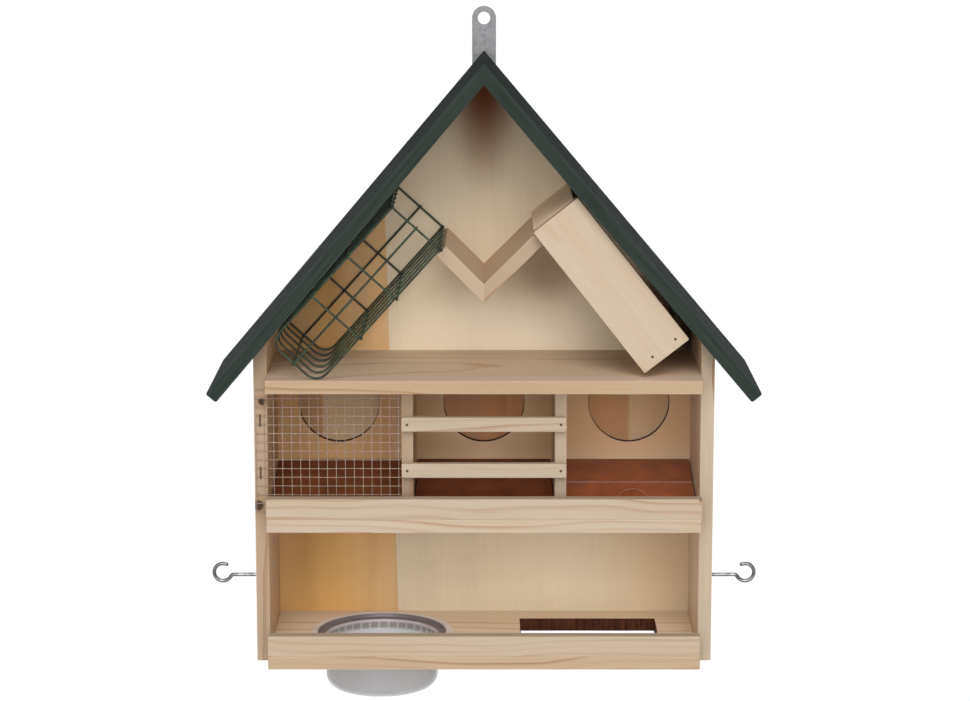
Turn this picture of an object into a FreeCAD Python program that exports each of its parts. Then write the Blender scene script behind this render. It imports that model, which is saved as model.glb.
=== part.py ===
import FreeCAD, Part
import math
import os
import re

import Sketcher

# Bird feeding house that hangs on a wall: a pine box with a steep green roof, three food
# compartments with filling holes at the back, a drinking bowl, a fat cage and side hooks.
# The origin is the centre of the hole in the hanger plate, +X to the right, +Y to the back, +Z up.

# Driving dimensions in millimetres and degrees
SIZES = {
    "house_width": 327.0,
    "wall_depth": 100.0,
    "wall_height": 223.2,
    "board_thickness": 9.5,
    "front_overhang": 23.0,
    "panel_thickness": 5.0,
    "roof_pitch": 49.8,
    "eave_overhang": 31.9,
    "attic_level": 200.2,
    "middle_level": 100.2,
    "lip_height": 15.0,
    "divider_thickness": 8.0,
    "middle_room": 101.2,
    "slat_height": 10.2,
    "slat_thickness": 6.0,
    "lower_slat_level": 136.2,
    "upper_slat_level": 169.7,
    "ramp_thickness": 3.0,
    "ramp_angle": 11.0,
    "ramp_front": 24.0,
    "ramp_clearance": 1.0,
    "ramp_back_gap": 0.4,
    "cleat_depth": 10.0,
    "mesh_pitch": 6.35,
    "mesh_wire": 0.6,
    "mesh_edge": 1.2,
    "mesh_clearance": 0.2,
    "staple_wire": 1.0,
    "staple_width": 8.0,
    "staple_leg": 5.0,
    "staple_low_bar": 4.5,
    "staple_high_bar": 10.5,
    "pane_thickness": 2.0,
    "pane_setback": 4.0,
    "pane_clearance": 0.25,
    "notch_radius": 12.0,
    "notch_level": 4.2,
    "hole_radius": 30.0,
    "hole_spacing": 108.0,
    "cover_margin": 4.0,
    "cover_thickness": 5.0,
    "cover_lug": 9.0,
    "cover_gap": 0.3,
    "pivot_shank": 4.0,
    "pivot_head": 9.0,
    "pivot_head_height": 2.0,
    "pivot_depth": 15.0,
    "pivot_clearance": 0.05,
    "stop_pin": 2.4,
    "stop_depth": 4.0,
    "bowl_x": -75.0,
    "bowl_lip_gap": 1.0,
    "bowl_mouth_radius": 47.8,
    "bowl_rim_width": 4.7,
    "bowl_ledge": 6.3,
    "bowl_step": 2.8,
    "bowl_taper": 0.5,
    "bowl_round": 8.0,
    "bowl_depth": 38.5,
    "bowl_corner_rise": 9.0,
    "bowl_wall": 1.5,
    "bowl_seat": 0.1,
    "bowl_hole_clearance": 0.8,
    "slot_left": 27.0,
    "slot_length": 100.0,
    "slot_front": 13.0,
    "slot_depth": 64.5,
    "cradle_rise": 65.0,
    "cradle_angle": 45.0,
    "arm_clearance": 0.5,
    "cage_length": 129.5,
    "cage_height": 44.0,
    "cage_lean": 48.0,
    "cage_corner": 10.0,
    "cage_wire": 1.7,
    "cage_pitch": 22.9,
    "cage_back_gap": 0.4,
    "cage_roof_gap": 1.0,
    "cage_seat": 0.4,
    "cage_upper_row": 46.5,
    "cage_lower_row": 37.5,
    "box_length": 127.3,
    "box_height": 39.5,
    "box_end_height": 36.0,
    "box_front": 14.0,
    "box_lean": 51.8,
    "box_roof_gap": 5.5,
    "box_seat": 3.5,
    "box_nail_end": 6.2,
    "box_nail_near": 11.6,
    "box_nail_far": 32.0,
    "hook_wire": 2.7,
    "hook_loop": 6.5,
    "hook_reach": 28.5,
    "hook_level": 52.6,
    "hook_setback": 50.0,
    "hook_bite": 7.0,
    "hook_elbow": 15.0,
    "hook_sweep": 280.0,
    "plate_width": 17.4,
    "plate_thickness": 2.0,
    "hanger_rise": 23.5,
    "hanger_radius": 4.6,
    "plate_tail": 64.0,
    "plate_screw": 3.5,
    "plate_screw_head": 7.0,
    "plate_screw_head_height": 1.8,
    "plate_screw_pitch": 14.0,
    "plate_screw_end": 8.0,
    "plate_screw_clearance": 0.1,
    "nail_shank": 1.4,
    "nail_head": 2.0,
    "nail_head_height": 0.9,
    "nail_proud": 0.15,
    "nail_length": 19.0,
    "nail_end": 25.0,
}

# Places worked out from the driving dimensions: front is the plane of the wall edges, base their foot
DERIVED = {
    "front": "-(wall_depth + panel_thickness + plate_thickness / 2)",
    "ridge": "wall_height + tan(roof_pitch) * house_width / 2 + board_thickness / cos(roof_pitch)",
    "apex": "wall_height + tan(roof_pitch) * house_width / 2",
    "base": "-(ridge + hanger_rise)",
    "half": "house_width / 2",
    "inner": "house_width / 2 - board_thickness",
    "eave": "house_width / 2 + eave_overhang",
    "attic_top": "attic_level + board_thickness",
    "middle_top": "middle_level + board_thickness",
    "shelf_depth": "front_overhang + wall_depth",
    "room_height": "attic_level - middle_top",
    "divider_in": "middle_room / 2",
    "divider_out": "middle_room / 2 + divider_thickness",
    "side_room": "inner - divider_out",
    "side_centre": "(inner + divider_out) / 2",
    "ramp_run": "wall_depth - ramp_back_gap - ramp_front",
    "cleat_front": "wall_depth - cleat_depth",
    "hole_level": "attic_level - hole_radius",
    "pivot_level": "attic_level + board_thickness / 2",
    "back_face": "wall_depth + panel_thickness",
    "cover_radius": "hole_radius + cover_margin",
    "cover_front": "back_face + cover_gap",
    "head_front": "cover_front + cover_thickness + cover_gap",
    "cradle_level": "attic_top + cradle_rise",
    "cage_outer": "cage_height + 1.5 * cage_wire",
    "cage_fall": "(cage_length - cage_corner) * sin(cage_lean)"
                 " + (cage_height - cage_corner) * cos(cage_lean) + cage_corner + cage_wire / 2",
    "cage_level": "attic_top + cage_seat + cage_fall",
    "cage_near_roof": "cage_roof_gap + 1.5 * cage_wire"
                      " + (cage_upper_row + cage_lower_row + cage_wire) * sin(roof_pitch - cage_lean)",
    "cage_x": "-(cos(roof_pitch) * (apex - cage_level) - cage_near_roof) / sin(roof_pitch)",
    "box_foot": "attic_top + box_seat",
    "box_foot_x": "(cos(roof_pitch) * (apex - box_foot) - box_roof_gap"
                  " - box_height * cos(box_lean - roof_pitch)) / sin(roof_pitch)",
    "box_x": "box_foot_x - box_length * cos(box_lean)",
    "box_level": "box_foot + box_length * sin(box_lean)",
    "left_arm": "(board_thickness * cos(cradle_angle + cage_lean) - arm_clearance - cage_outer"
                " + (cage_level - cradle_level) * cos(cage_lean) - cage_x * sin(cage_lean))"
                " / sin(cradle_angle + cage_lean)",
    "right_arm": "(board_thickness * cos(cradle_angle + box_lean) - arm_clearance"
                 " + (box_level - cradle_level) * cos(box_lean) + box_x * sin(box_lean))"
                 " / sin(cradle_angle + box_lean)",
    "bowl_rim_radius": "bowl_mouth_radius + bowl_rim_width",
    "bowl_setback": "board_thickness - front_overhang + bowl_lip_gap + bowl_rim_radius",
    "bowl_body_radius": "bowl_mouth_radius - bowl_ledge",
    "bowl_corner_radius": "bowl_body_radius - bowl_taper",
    "bowl_base_radius": "bowl_corner_radius - bowl_round",
    "hook_x": "half + hook_reach",
    "hook_drop": "hook_loop * sin(hook_elbow)",
    "hook_shank": "hook_bite + hook_reach - hook_loop * cos(hook_elbow)",
    "plate_foot": "ridge - plate_tail",
}

doc = FreeCAD.newDocument("bird_feeding_house")
sheet = doc.addObject("Spreadsheet::Sheet", "Sizes")
for row, (alias, size) in enumerate(SIZES.items(), start=1):
    sheet.set(f"A{row}", alias)
    sheet.set(f"B{row}", str(size))
    sheet.setAlias(f"B{row}", alias)
doc.recompute()

WORD = re.compile(r"[a-z_]+")
parts = []


def formula(text):
    """The text with derived places written out and driving dimensions named in the sheet."""
    def replace(match):
        word = match.group(0)
        if word in DERIVED:
            return "(" + formula(DERIVED[word]) + ")"
        return "Sizes." + word if word in SIZES else word
    return WORD.sub(replace, text)


def number(text):
    """The present value of a formula."""
    value = sheet.evalExpression(formula(text))
    return float(getattr(value, "Value", value))


def bind(obj, prop, text):
    """Ties a property to the sheet."""
    obj.setExpression(prop, formula(text))


def place(obj, x, y, z, axis=None, angle="0"):
    """Puts an object at x, y behind the wall fronts and z above the foot, turned about one axis."""
    if axis:
        turn = FreeCAD.Rotation(FreeCAD.Vector(*axis), number(angle))
        obj.Placement = FreeCAD.Placement(FreeCAD.Vector(), turn)
        bind(obj, "Placement.Rotation.Angle", angle)
    bind(obj, "Placement.Base.x", x)
    bind(obj, "Placement.Base.y", f"front + ({y})")
    bind(obj, "Placement.Base.z", f"base + ({z})")
    return obj


def keep(obj, label):
    """Names an object and lists it as a sub-part."""
    obj.Label = label
    parts.append(obj)
    return obj


def block(name, size, corner, axis=None, angle="0"):
    """A board: its length, depth and height, and its lowest corner."""
    box = doc.addObject("Part::Box", name)
    for prop, text in zip(("Length", "Width", "Height"), size):
        bind(box, prop, text)
    return place(box, *corner, axis, angle)


def rod(name, radius, height, foot, axis=None, angle="0"):
    """A round bar that stands on its foot, turned about one axis."""
    cylinder = doc.addObject("Part::Cylinder", name)
    bind(cylinder, "Radius", radius)
    bind(cylinder, "Height", height)
    return place(cylinder, *foot, axis, angle)


def bore(name, radius, centre_x, start, end, level):
    """A round cutter along the depth, from start to end behind the wall fronts."""
    return rod(name, radius, f"({end}) - ({start})", (centre_x, start, level), (1, 0, 0), "-90")


def fuse(name, shapes):
    joined = doc.addObject("Part::MultiFuse", name)
    joined.Shapes = shapes
    return joined


def cut(name, base, tools):
    """The base with every tool taken away."""
    result = doc.addObject("Part::Cut", name)
    result.Base = base
    result.Tool = tools[0] if len(tools) == 1 else fuse(name + "_tools", tools)
    return result


def outline(sketch, points):
    """A closed run of straight lines whose corners are tied to the sheet."""
    first = sketch.GeometryCount
    corners = [FreeCAD.Vector(number(x), number(y), 0) for x, y in points]
    count = len(corners)
    for i in range(count):
        sketch.addGeometry(Part.LineSegment(corners[i], corners[(i + 1) % count]))
    for i in range(count):
        sketch.addConstraint(Sketcher.Constraint("Coincident", first + i, 2, first + (i + 1) % count, 1))
    for i, (x, y) in enumerate(points):
        for kind, text, value in (("DistanceX", x, corners[i].x), ("DistanceY", y, corners[i].y)):
            index = sketch.addConstraint(Sketcher.Constraint(kind, -1, 1, first + i, 1, value))
            bind(sketch, f"Constraints[{index}]", text)


def circle(sketch, x, y, radius):
    """A circle whose centre and radius are tied to the sheet."""
    centre = FreeCAD.Vector(number(x), number(y), 0)
    ring = sketch.addGeometry(Part.Circle(centre, FreeCAD.Vector(0, 0, 1), number(radius)))
    for kind, text, value in (("DistanceX", x, centre.x), ("DistanceY", y, centre.y)):
        index = sketch.addConstraint(Sketcher.Constraint(kind, -1, 1, ring, 3, value))
        bind(sketch, f"Constraints[{index}]", text)
    index = sketch.addConstraint(Sketcher.Constraint("Radius", ring, number(radius)))
    bind(sketch, f"Constraints[{index}]", radius)


def sketched_body(name, plane):
    """A body and an empty sketch on one of its own origin planes."""
    body = doc.addObject("PartDesign::Body", name)
    sketch = body.newObject("Sketcher::SketchObject", name + "_outline")
    support = next(f for f in body.Origin.OriginFeatures if f.Role == plane)
    sketch.AttachmentSupport = [(support, "")]
    sketch.MapMode = "FlatFace"
    return body, sketch


def padded(name, plane, loops, depth, corner, circles=()):
    """A sawn sheet: outlines and round holes in an upright or level plane, padded back or up."""
    body, sketch = sketched_body(name, plane)
    for points in loops:
        outline(sketch, points)
    for x, y, radius in circles:
        circle(sketch, x, y, radius)
    pad = body.newObject("PartDesign::Pad", name + "_pad")
    pad.Profile = sketch
    pad.Reversed = plane == "XZ_Plane"
    bind(pad, "Length", depth)
    return place(body, *corner)


def solid_group(name, shapes):
    """Separate solids that share one node."""
    group = doc.addObject("Part::Feature", name)
    group.Shape = Part.makeCompound(shapes)
    return group


def point(x, y, z):
    """A point from three formulas, y behind the wall fronts and z above the foot."""
    return FreeCAD.Vector(number(x), number(f"front + ({y})"), number(f"base + ({z})"))


def nail(head, direction):
    """A flush nail: a shank and a thin head that stands a hair proud of the wood."""
    way = FreeCAD.Vector(*direction).normalize()
    top = head - way * number("nail_proud")
    shank = Part.makeCylinder(number("nail_shank / 2"), number("nail_length"), top, way)
    return shank.fuse(Part.makeCylinder(number("nail_head / 2"), number("nail_head_height"), top, way))


def screw(head_top, direction, shank, head, head_height, length):
    """A pan-head screw: a head and a plain shank of the thread's size."""
    way = FreeCAD.Vector(*direction).normalize()
    bolt = Part.makeCylinder(number(shank) / 2, number(length), head_top, way)
    return bolt.fuse(Part.makeCylinder(number(head) / 2, number(head_height), head_top, way))


def bent_wire(points, bend, thickness, closed=False):
    """A round wire along straight runs with a tangent arc of one radius at each corner."""
    corners = [FreeCAD.Vector(*p) for p in points]
    count = len(corners)
    edges = []
    bent = range(count) if closed else range(1, count - 1)
    start = None if closed else corners[0]
    first = None
    for i in bent:
        before = (corners[i - 1] - corners[i]).normalize()
        after = (corners[(i + 1) % count] - corners[i]).normalize()
        half_turn = (math.pi - before.getAngle(after)) / 2
        reach = bend * math.tan(half_turn)
        enter = corners[i] + before * reach
        leave = corners[i] + after * reach
        middle = (before + after).normalize()
        top = corners[i] + middle * (bend / math.cos(half_turn) - bend)
        if start is None:
            first = enter
        else:
            edges.append(Part.makeLine(start, enter))
        edges.append(Part.Arc(enter, top, leave).toShape())
        start = leave
    edges.append(Part.makeLine(start, first if closed else corners[-1]))
    path = Part.Wire(edges)
    tangent = edges[0].tangentAt(edges[0].FirstParameter)
    section = Part.Wire(Part.makeCircle(thickness / 2, edges[0].firstVertex().Point, tangent))
    return path.makePipeShell([section], True, False)


def make_walls():
    """Side walls with tops bevelled under the roof, and the gabled back panel with three holes."""
    for side, name in ((-1, "left_wall"), (1, "right_wall")):
        bevel_top = "wall_height + board_thickness * tan(roof_pitch)"
        corners = [(f"{side} * half", "0"), (f"{side} * half", "wall_height"),
                   (f"{side} * inner", bevel_top), (f"{side} * inner", "0")]
        keep(padded(name, "XZ_Plane", [corners], "wall_depth", ("0", "0", "0")), name)
    gable = [("-half", "0"), ("half", "0"), ("half", "wall_height"), ("0", "apex"), ("-half", "wall_height")]
    holes = [(f"{i} * hole_spacing", "hole_level", "hole_radius") for i in (-1, 0, 1)]
    panel = padded("back_panel", "XZ_Plane", [gable], "panel_thickness", ("0", "wall_depth", "0"), holes)
    keep(panel, "back_panel")


def make_shelves():
    """Three shelves between the walls, two of them with a lip, the floor with a bowl hole and a slot."""
    for name, level in (("attic_shelf", "attic_level"), ("middle_shelf", "middle_level")):
        keep(block(name, ("2 * inner", "shelf_depth", "board_thickness"),
                   ("-inner", "-front_overhang", level)), name)
    for name, level in (("middle_lip", "middle_top"), ("lower_lip", "board_thickness")):
        keep(block(name, ("2 * inner", "board_thickness", "lip_height"),
                   ("-inner", "-front_overhang", level)), name)
    board = [("-inner", "-front_overhang"), ("inner", "-front_overhang"), ("inner", "wall_depth"),
             ("-inner", "wall_depth")]
    slot_right = "slot_left + slot_length"
    slot_back = "slot_front + slot_depth"
    slot = [("slot_left", "slot_front"), (slot_right, "slot_front"), (slot_right, slot_back),
            ("slot_left", slot_back)]
    bowl_hole = ("bowl_x", "bowl_setback", "bowl_mouth_radius + bowl_hole_clearance")
    floor = padded("floor_board", "XY_Plane", [board, slot], "board_thickness", ("0", "0", "0"), [bowl_hole])
    keep(floor, "floor_board")


def make_compartments():
    """Dividers, slats, sloping ramps on cleats, the wire mesh and the clear pane with its notch."""
    keep(block("left_divider", ("divider_thickness", "wall_depth", "room_height"),
               ("-divider_out", "0", "middle_top")), "left_divider")
    keep(block("right_divider", ("divider_thickness", "wall_depth", "room_height"),
               ("divider_in", "0", "middle_top")), "right_divider")
    for name, level in (("upper_slat", "upper_slat_level"), ("lower_slat", "lower_slat_level")):
        keep(block(name, ("2 * divider_out", "slat_thickness", "slat_height"),
                   ("-divider_out", "-slat_thickness", level)), name)
    rooms = (("left_ramp", "-inner", "side_room"), ("middle_ramp", "-divider_in", "middle_room"),
             ("right_ramp", "divider_out", "side_room"))
    cleats = []
    for name, left, width in rooms:
        size = (f"{width} - 2 * ramp_clearance", "ramp_run / cos(ramp_angle)", "ramp_thickness")
        keep(block(name, size, (f"{left} + ramp_clearance", "ramp_front", "middle_top"),
                   (1, 0, 0), "ramp_angle"), name)
        cleat_size = (width, "cleat_depth", "(cleat_front - ramp_front) * tan(ramp_angle)")
        cleats.append(block(name + "_cleat", cleat_size, (left, "cleat_front", "middle_top")))
    group = doc.addObject("Part::Compound", "ramp_cleats")
    group.Links = cleats
    keep(group, "ramp_cleats")

    wire = "mesh_wire / 2"
    left = "-half + mesh_edge"
    bottom = "middle_top + mesh_clearance"
    height = number("room_height - 2 * mesh_clearance")
    width = number("half - mesh_edge - divider_out - mesh_clearance")
    pitch = number("mesh_pitch")
    uprights = int(width // pitch) + 1
    crossbars = int((height - number("mesh_wire")) // pitch) + 1
    first_bar = f"{bottom} + {wire}"
    wires = [Part.makeCylinder(number(wire), height,
                               point(f"{left} + {i} * mesh_pitch", f"-({wire})", bottom))
             for i in range(uprights)]
    wires += [Part.makeCylinder(number(wire), width,
                                point(left, f"-3 * {wire}", f"{first_bar} + {i} * mesh_pitch"),
                                FreeCAD.Vector(1, 0, 0)) for i in range(crossbars)]
    keep(solid_group("wire_mesh", wires), "wire_mesh")

    staples = []
    crown = "-2 * mesh_wire - staple_wire / 2"
    for bar in ("staple_low_bar", "staple_high_bar"):
        level = f"{first_bar} + {bar} * mesh_pitch"
        ends = [(f"{level} {sign} staple_width / 2") for sign in ("-", "+")]
        post = f"{left} + mesh_pitch / 2"
        run = [point(post, "staple_leg", ends[0]), point(post, crown, ends[0]),
               point(post, crown, ends[1]), point(post, "staple_leg", ends[1])]
        staples.append(bent_wire(run, number("staple_wire"), number("staple_wire")))
    keep(solid_group("mesh_staples", staples), "mesh_staples")

    sheet_size = ("side_room - 2 * pane_clearance", "pane_thickness", "room_height - pane_clearance")
    pane = block("pane_sheet", sheet_size, ("divider_out + pane_clearance", "pane_setback", "middle_top"))
    notch = bore("pane_notch", "notch_radius", "side_centre", "0", "2 * pane_setback + pane_thickness",
                 "middle_top + notch_level")
    keep(cut("seed_pane", pane, [notch]), "seed_pane")


def make_covers():
    """Three swivel covers behind the filling holes, their pivot screws and the pins that stop them."""
    lug_rise = "pivot_level - hole_level"
    screws = []
    pins = []
    for i, side in enumerate(("left", "middle", "right"), start=-1):
        name = f"{side}_fill_cover"
        centre = f"{i} * hole_spacing"
        back = "cover_front + cover_thickness"
        disc = bore(name + "_disc", "cover_radius", centre, "cover_front", back, "hole_level")
        lug = bore(name + "_lug", "cover_lug", centre, "cover_front", back, "pivot_level")
        neck = block(name + "_neck", ("2 * cover_lug", "cover_thickness", lug_rise),
                     (f"{centre} - cover_lug", "cover_front", "hole_level"))
        hole = bore(name + "_bore", "pivot_shank / 2 + pivot_clearance", centre,
                    "cover_front - cover_gap", f"{back} + cover_gap", "pivot_level")
        keep(cut(name, fuse(name + "_blank", [disc, lug, neck]), [hole]), name)
        screws.append(screw(point(centre, "head_front + pivot_head_height", "pivot_level"), (0, -1, 0),
                            "pivot_shank", "pivot_head", "pivot_head_height",
                            "head_front + pivot_head_height - wall_depth + pivot_depth"))
        pin_foot = point(f"{centre} + cover_radius + cover_gap + stop_pin / 2",
                         "back_face - stop_depth", "hole_level")
        pin_length = number("stop_depth + cover_gap + cover_thickness")
        pins.append(Part.makeCylinder(number("stop_pin / 2"), pin_length, pin_foot, FreeCAD.Vector(0, 1, 0)))
    keep(solid_group("cover_pivot_screws", screws), "cover_pivot_screws")
    keep(solid_group("cover_stop_pins", pins), "cover_stop_pins")


def make_roof():
    """Two boards that meet in a mitre at the ridge and reach past the walls at the eaves."""
    drop = "board_thickness * cos(roof_pitch)"
    shift = "board_thickness * sin(roof_pitch)"
    foot = "ridge - eave * tan(roof_pitch)"
    for side, name in ((-1, "left_roof_board"), (1, "right_roof_board")):
        corners = [("0", "ridge"), (f"{side} * eave", foot),
                   (f"{side} * (eave - {shift})", f"{foot} - {drop}"), ("0", "apex")]
        keep(padded(name, "XZ_Plane", [corners], "shelf_depth + panel_thickness",
                    ("0", "-front_overhang", "0")), name)


def make_cradle():
    """Two mitred boards in a V between the cage and the box."""
    thick = "board_thickness"
    for side, name, length in ((-1, "left_cradle_arm", "left_arm"), (1, "right_cradle_arm", "right_arm")):
        out = f"{length} * cos(cradle_angle)"
        up = f"cradle_level + {length} * sin(cradle_angle)"
        corners = [("0", "cradle_level"), (f"{side} * {out}", up),
                   (f"{side} * ({out} + {thick} * sin(cradle_angle))", f"{up} - {thick} * cos(cradle_angle)"),
                   ("0", f"cradle_level - {thick} / cos(cradle_angle)")]
        keep(padded(name, "XZ_Plane", [corners], "wall_depth", ("0", "0", "0")), name)


def make_box():
    """A board in front and two end pieces, leaning nearly as the right roof slope does."""
    lean = ((0, 1, 0), "box_lean")
    keep(block("box_front_board", ("box_length", "board_thickness", "box_height"),
               ("box_x", "-box_front", "box_level"), *lean), "box_front_board")
    end_depth = "wall_depth + box_front - board_thickness"
    low = "(box_length - board_thickness)"
    for name, x, level in (("box_top_end", "box_x", "box_level"),
                           ("box_bottom_end", f"box_x + {low} * cos(box_lean)",
                            f"box_level - {low} * sin(box_lean)")):
        keep(block(name, ("board_thickness", end_depth, "box_end_height"),
                   (x, "board_thickness - box_front", level), *lean), name)


def make_cage():
    """A basket of U-shaped wires with cross loops and one long loop, leaning nearly as the left roof does.

    In the basket's own frame x runs down the slope, y back and z away from the roof."""
    wire = number("cage_wire")
    length = number("cage_length")
    height = number("cage_height")
    corner = number("cage_corner")
    rows = (0, number("cage_upper_row"), number("cage_upper_row + cage_lower_row"))
    step = number("cage_pitch")
    rings = 6
    last = number("wall_depth - cage_back_gap - 2.5 * cage_wire")
    first = last - (rings - 1) * step
    wires = [bent_wire([(0, last - i * step, 0), (length, last - i * step, 0),
                        (length, last - i * step, height), (0, last - i * step, height)], corner, wire)
             for i in range(rings)]
    near = first - 2 * wire
    far = last + 2 * wire
    for row in rows:
        x = wire / 2 + row
        wires.append(bent_wire([(x, near, -wire), (x, far, -wire), (x, far, height + wire),
                                (x, near, height + wire)], 2 * wire, wire, closed=True))
    wires.append(bent_wire([(0, first - wire, height / 2), (length + wire, first - wire, height / 2),
                            (length + wire, last + wire, height / 2), (0, last + wire, height / 2)],
                           2 * wire, wire))
    cage = solid_group("suet_cage", wires)
    keep(place(cage, "cage_x", "0", "cage_level", (0, 1, 0), "180 - cage_lean"), "suet_cage")


def make_bowl():
    """A thin round bowl with a flat rim and a step that sits in the floor's hole, turned from one profile."""
    body, sketch = sketched_body("water_bowl", "XZ_Plane")
    inside = "bowl_mouth_radius - bowl_wall"
    ledge_top = "bowl_wall - bowl_step"
    outline(sketch, [("0", "-bowl_depth"), ("bowl_base_radius", "-bowl_depth"),
                     ("bowl_corner_radius", "bowl_corner_rise - bowl_depth"),
                     ("bowl_body_radius", "-bowl_step"), ("bowl_mouth_radius", "-bowl_step"),
                     ("bowl_mouth_radius", "0"),
                     ("bowl_rim_radius", "0"), ("bowl_rim_radius", "bowl_wall"), (inside, "bowl_wall"),
                     (inside, ledge_top), ("bowl_body_radius - bowl_wall", ledge_top),
                     ("bowl_corner_radius - bowl_wall", "bowl_corner_rise - bowl_depth + bowl_wall / 2"),
                     ("bowl_base_radius - bowl_wall / 2", "bowl_wall - bowl_depth"),
                     ("0", "bowl_wall - bowl_depth")])
    turned = body.newObject("PartDesign::Revolution", "water_bowl_turned")
    turned.Profile = sketch
    turned.ReferenceAxis = (sketch, ["V_Axis"])
    turned.Angle = 360
    place(body, "bowl_x", "bowl_setback", "board_thickness + bowl_seat")
    keep(body, "water_bowl")


def make_hooks():
    """A screw hook in each side wall: a straight shank and an open round loop."""
    radius = "hook_wire / 2"
    left_tip = "360 - hook_elbow - hook_sweep"
    right_start = "180 + hook_elbow"
    for side, name, start, tip in ((-1, "left_hook", left_tip, left_tip),
                                   (1, "right_hook", right_start, f"{right_start} + hook_sweep")):
        first_angle = number(start)
        loop = doc.addObject("Part::Torus", name + "_loop")
        bind(loop, "Radius1", "hook_loop")
        bind(loop, "Radius2", radius)
        bind(loop, "Angle3", "hook_sweep")
        upright = FreeCAD.Rotation(FreeCAD.Vector(1, 0, 0), 90)
        loop.Placement.Rotation = upright.multiply(FreeCAD.Rotation(FreeCAD.Vector(0, 0, 1), first_angle))
        place(loop, f"{side} * hook_x", "hook_setback", "hook_level")
        shank = rod(name + "_shank", radius, "hook_shank",
                    (f"{side} * (half - hook_bite)", "hook_setback", "hook_level - hook_drop"),
                    (0, 1, 0), f"{side} * 90")
        balls = []
        for end, dx, dz in (("elbow", f"-{side} * hook_loop * cos(hook_elbow)", "-hook_drop"),
                            ("tip", f"cos({tip}) * hook_loop", f"sin({tip}) * hook_loop")):
            ball = doc.addObject("Part::Sphere", f"{name}_{end}")
            bind(ball, "Radius", radius)
            balls.append(place(ball, f"{side} * hook_x + {dx}", "hook_setback", f"hook_level + ({dz})"))
        keep(fuse(name, [loop, shank, *balls]), name)


def make_hanger():
    """The hanger plate with a round head and its hole, and the two screws that hold it."""
    back = "back_face + plate_thickness"
    hole_level = "ridge + hanger_rise"
    strap = block("plate_strap", ("plate_width", "plate_thickness", f"{hole_level} - plate_foot"),
                  ("-plate_width / 2", "back_face", "plate_foot"))
    head = bore("plate_head", "plate_width / 2", "0", "back_face", back, hole_level)
    tools = [bore("plate_hole", "hanger_radius", "0", "wall_depth", f"{back} + panel_thickness", hole_level)]
    screws = []
    for i in range(2):
        level = f"plate_foot + plate_screw_end + {i} * plate_screw_pitch"
        tools.append(bore(f"plate_screw_hole_{i}", "plate_screw / 2 + plate_screw_clearance", "0",
                          "wall_depth", f"{back} + panel_thickness", level))
        screws.append(screw(point("0", f"{back} + plate_screw_head_height", level), (0, -1, 0), "plate_screw",
                            "plate_screw_head", "plate_screw_head_height",
                            "plate_screw_head_height + plate_thickness + 0.8 * panel_thickness"))
    keep(cut("hanger_plate", fuse("plate_blank", [strap, head]), tools), "hanger_plate")
    keep(solid_group("hanger_screws", screws), "hanger_screws")


def make_nails():
    """Flush nails: in the slats, the box, the roof, through the walls and through the back panel."""
    divider_centre = "divider_in + divider_thickness / 2"
    slat_nails = [nail(point(f"{side} * ({divider_centre})", "-slat_thickness", f"{level} + slat_height / 2"),
                       (0, 1, 0))
                  for level in ("lower_slat_level", "upper_slat_level") for side in (-1, 1)]
    keep(solid_group("slat_nails", slat_nails), "slat_nails")

    along = "(box_length - box_nail_end)"
    box_nails = []
    for across in ("box_nail_near", "box_nail_far"):
        head = point(f"box_x + {along} * cos(box_lean) + {across} * sin(box_lean)", "-box_front",
                     f"box_level - {along} * sin(box_lean) + {across} * cos(box_lean)")
        box_nails.append(nail(head, (0, 1, 0)))
    keep(solid_group("box_nails", box_nails), "box_nails")

    pitch = math.radians(number("roof_pitch"))
    thick = "board_thickness"
    set_in = "1.5 * nail_shank"
    roof_nails = []
    for side in (-1, 1):
        inward = (-side * math.sin(pitch), 0, -math.cos(pitch))
        lift = f"wall_height + {set_in} * tan(roof_pitch)"
        for y in ("nail_end", "wall_depth - nail_end"):
            roof_nails.append(nail(point(f"{side} * (half - {set_in} + {thick} * sin(roof_pitch))", y,
                                         f"{lift} + {thick} * cos(roof_pitch)"), inward))
        for share in (0.3, 0.7):
            drop = f"{share} * half * tan(roof_pitch)"
            head = point(f"{side} * ({share} * half + {thick} * sin(roof_pitch))",
                         "wall_depth + panel_thickness / 2", f"apex - {drop} + {thick} * cos(roof_pitch)")
            roof_nails.append(nail(head, inward))
    keep(solid_group("roof_nails", roof_nails), "roof_nails")

    wall_nails = []
    for side in (-1, 1):
        for level in ("0", "middle_level", "attic_level"):
            for y in ("nail_end", "wall_depth - nail_end"):
                head = point(f"{side} * half", y, f"{level} + board_thickness / 2")
                wall_nails.append(nail(head, (-side, 0, 0)))
    keep(solid_group("wall_nails", wall_nails), "wall_nails")

    mid_wall = "(half - board_thickness / 2)"
    panel_nails = []
    for side in (-1, 1):
        for row in range(4):
            level = f"nail_end + {row} * (wall_height - 2 * nail_end) / 3"
            panel_nails.append(nail(point(f"{side} * {mid_wall}", "back_face", level), (0, -1, 0)))
    keep(solid_group("panel_nails", panel_nails), "panel_nails")


make_walls()
make_shelves()
make_compartments()
make_covers()
make_roof()
make_cradle()
make_box()
make_cage()
make_bowl()
make_hooks()
make_hanger()
make_nails()
doc.recompute()

for obj in doc.Objects:
    bad = [state for state in obj.State if state in ("Invalid", "Error")]
    if bad:
        raise RuntimeError(f"{obj.Label}: {bad}")
for obj in parts:
    if obj.Shape.isNull() or not obj.Shape.isValid() or not obj.Shape.Solids:
        raise RuntimeError(f"{obj.Label}: its shape is not a valid solid")

os.makedirs("parts", exist_ok=True)
for obj in parts:
    obj.Shape.exportStep(f"parts/{obj.Label}.step")
    print(f"{obj.Label}: {len(obj.Shape.Solids)} solids, {obj.Shape.Volume:.0f} mm3")
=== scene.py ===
import math

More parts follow.
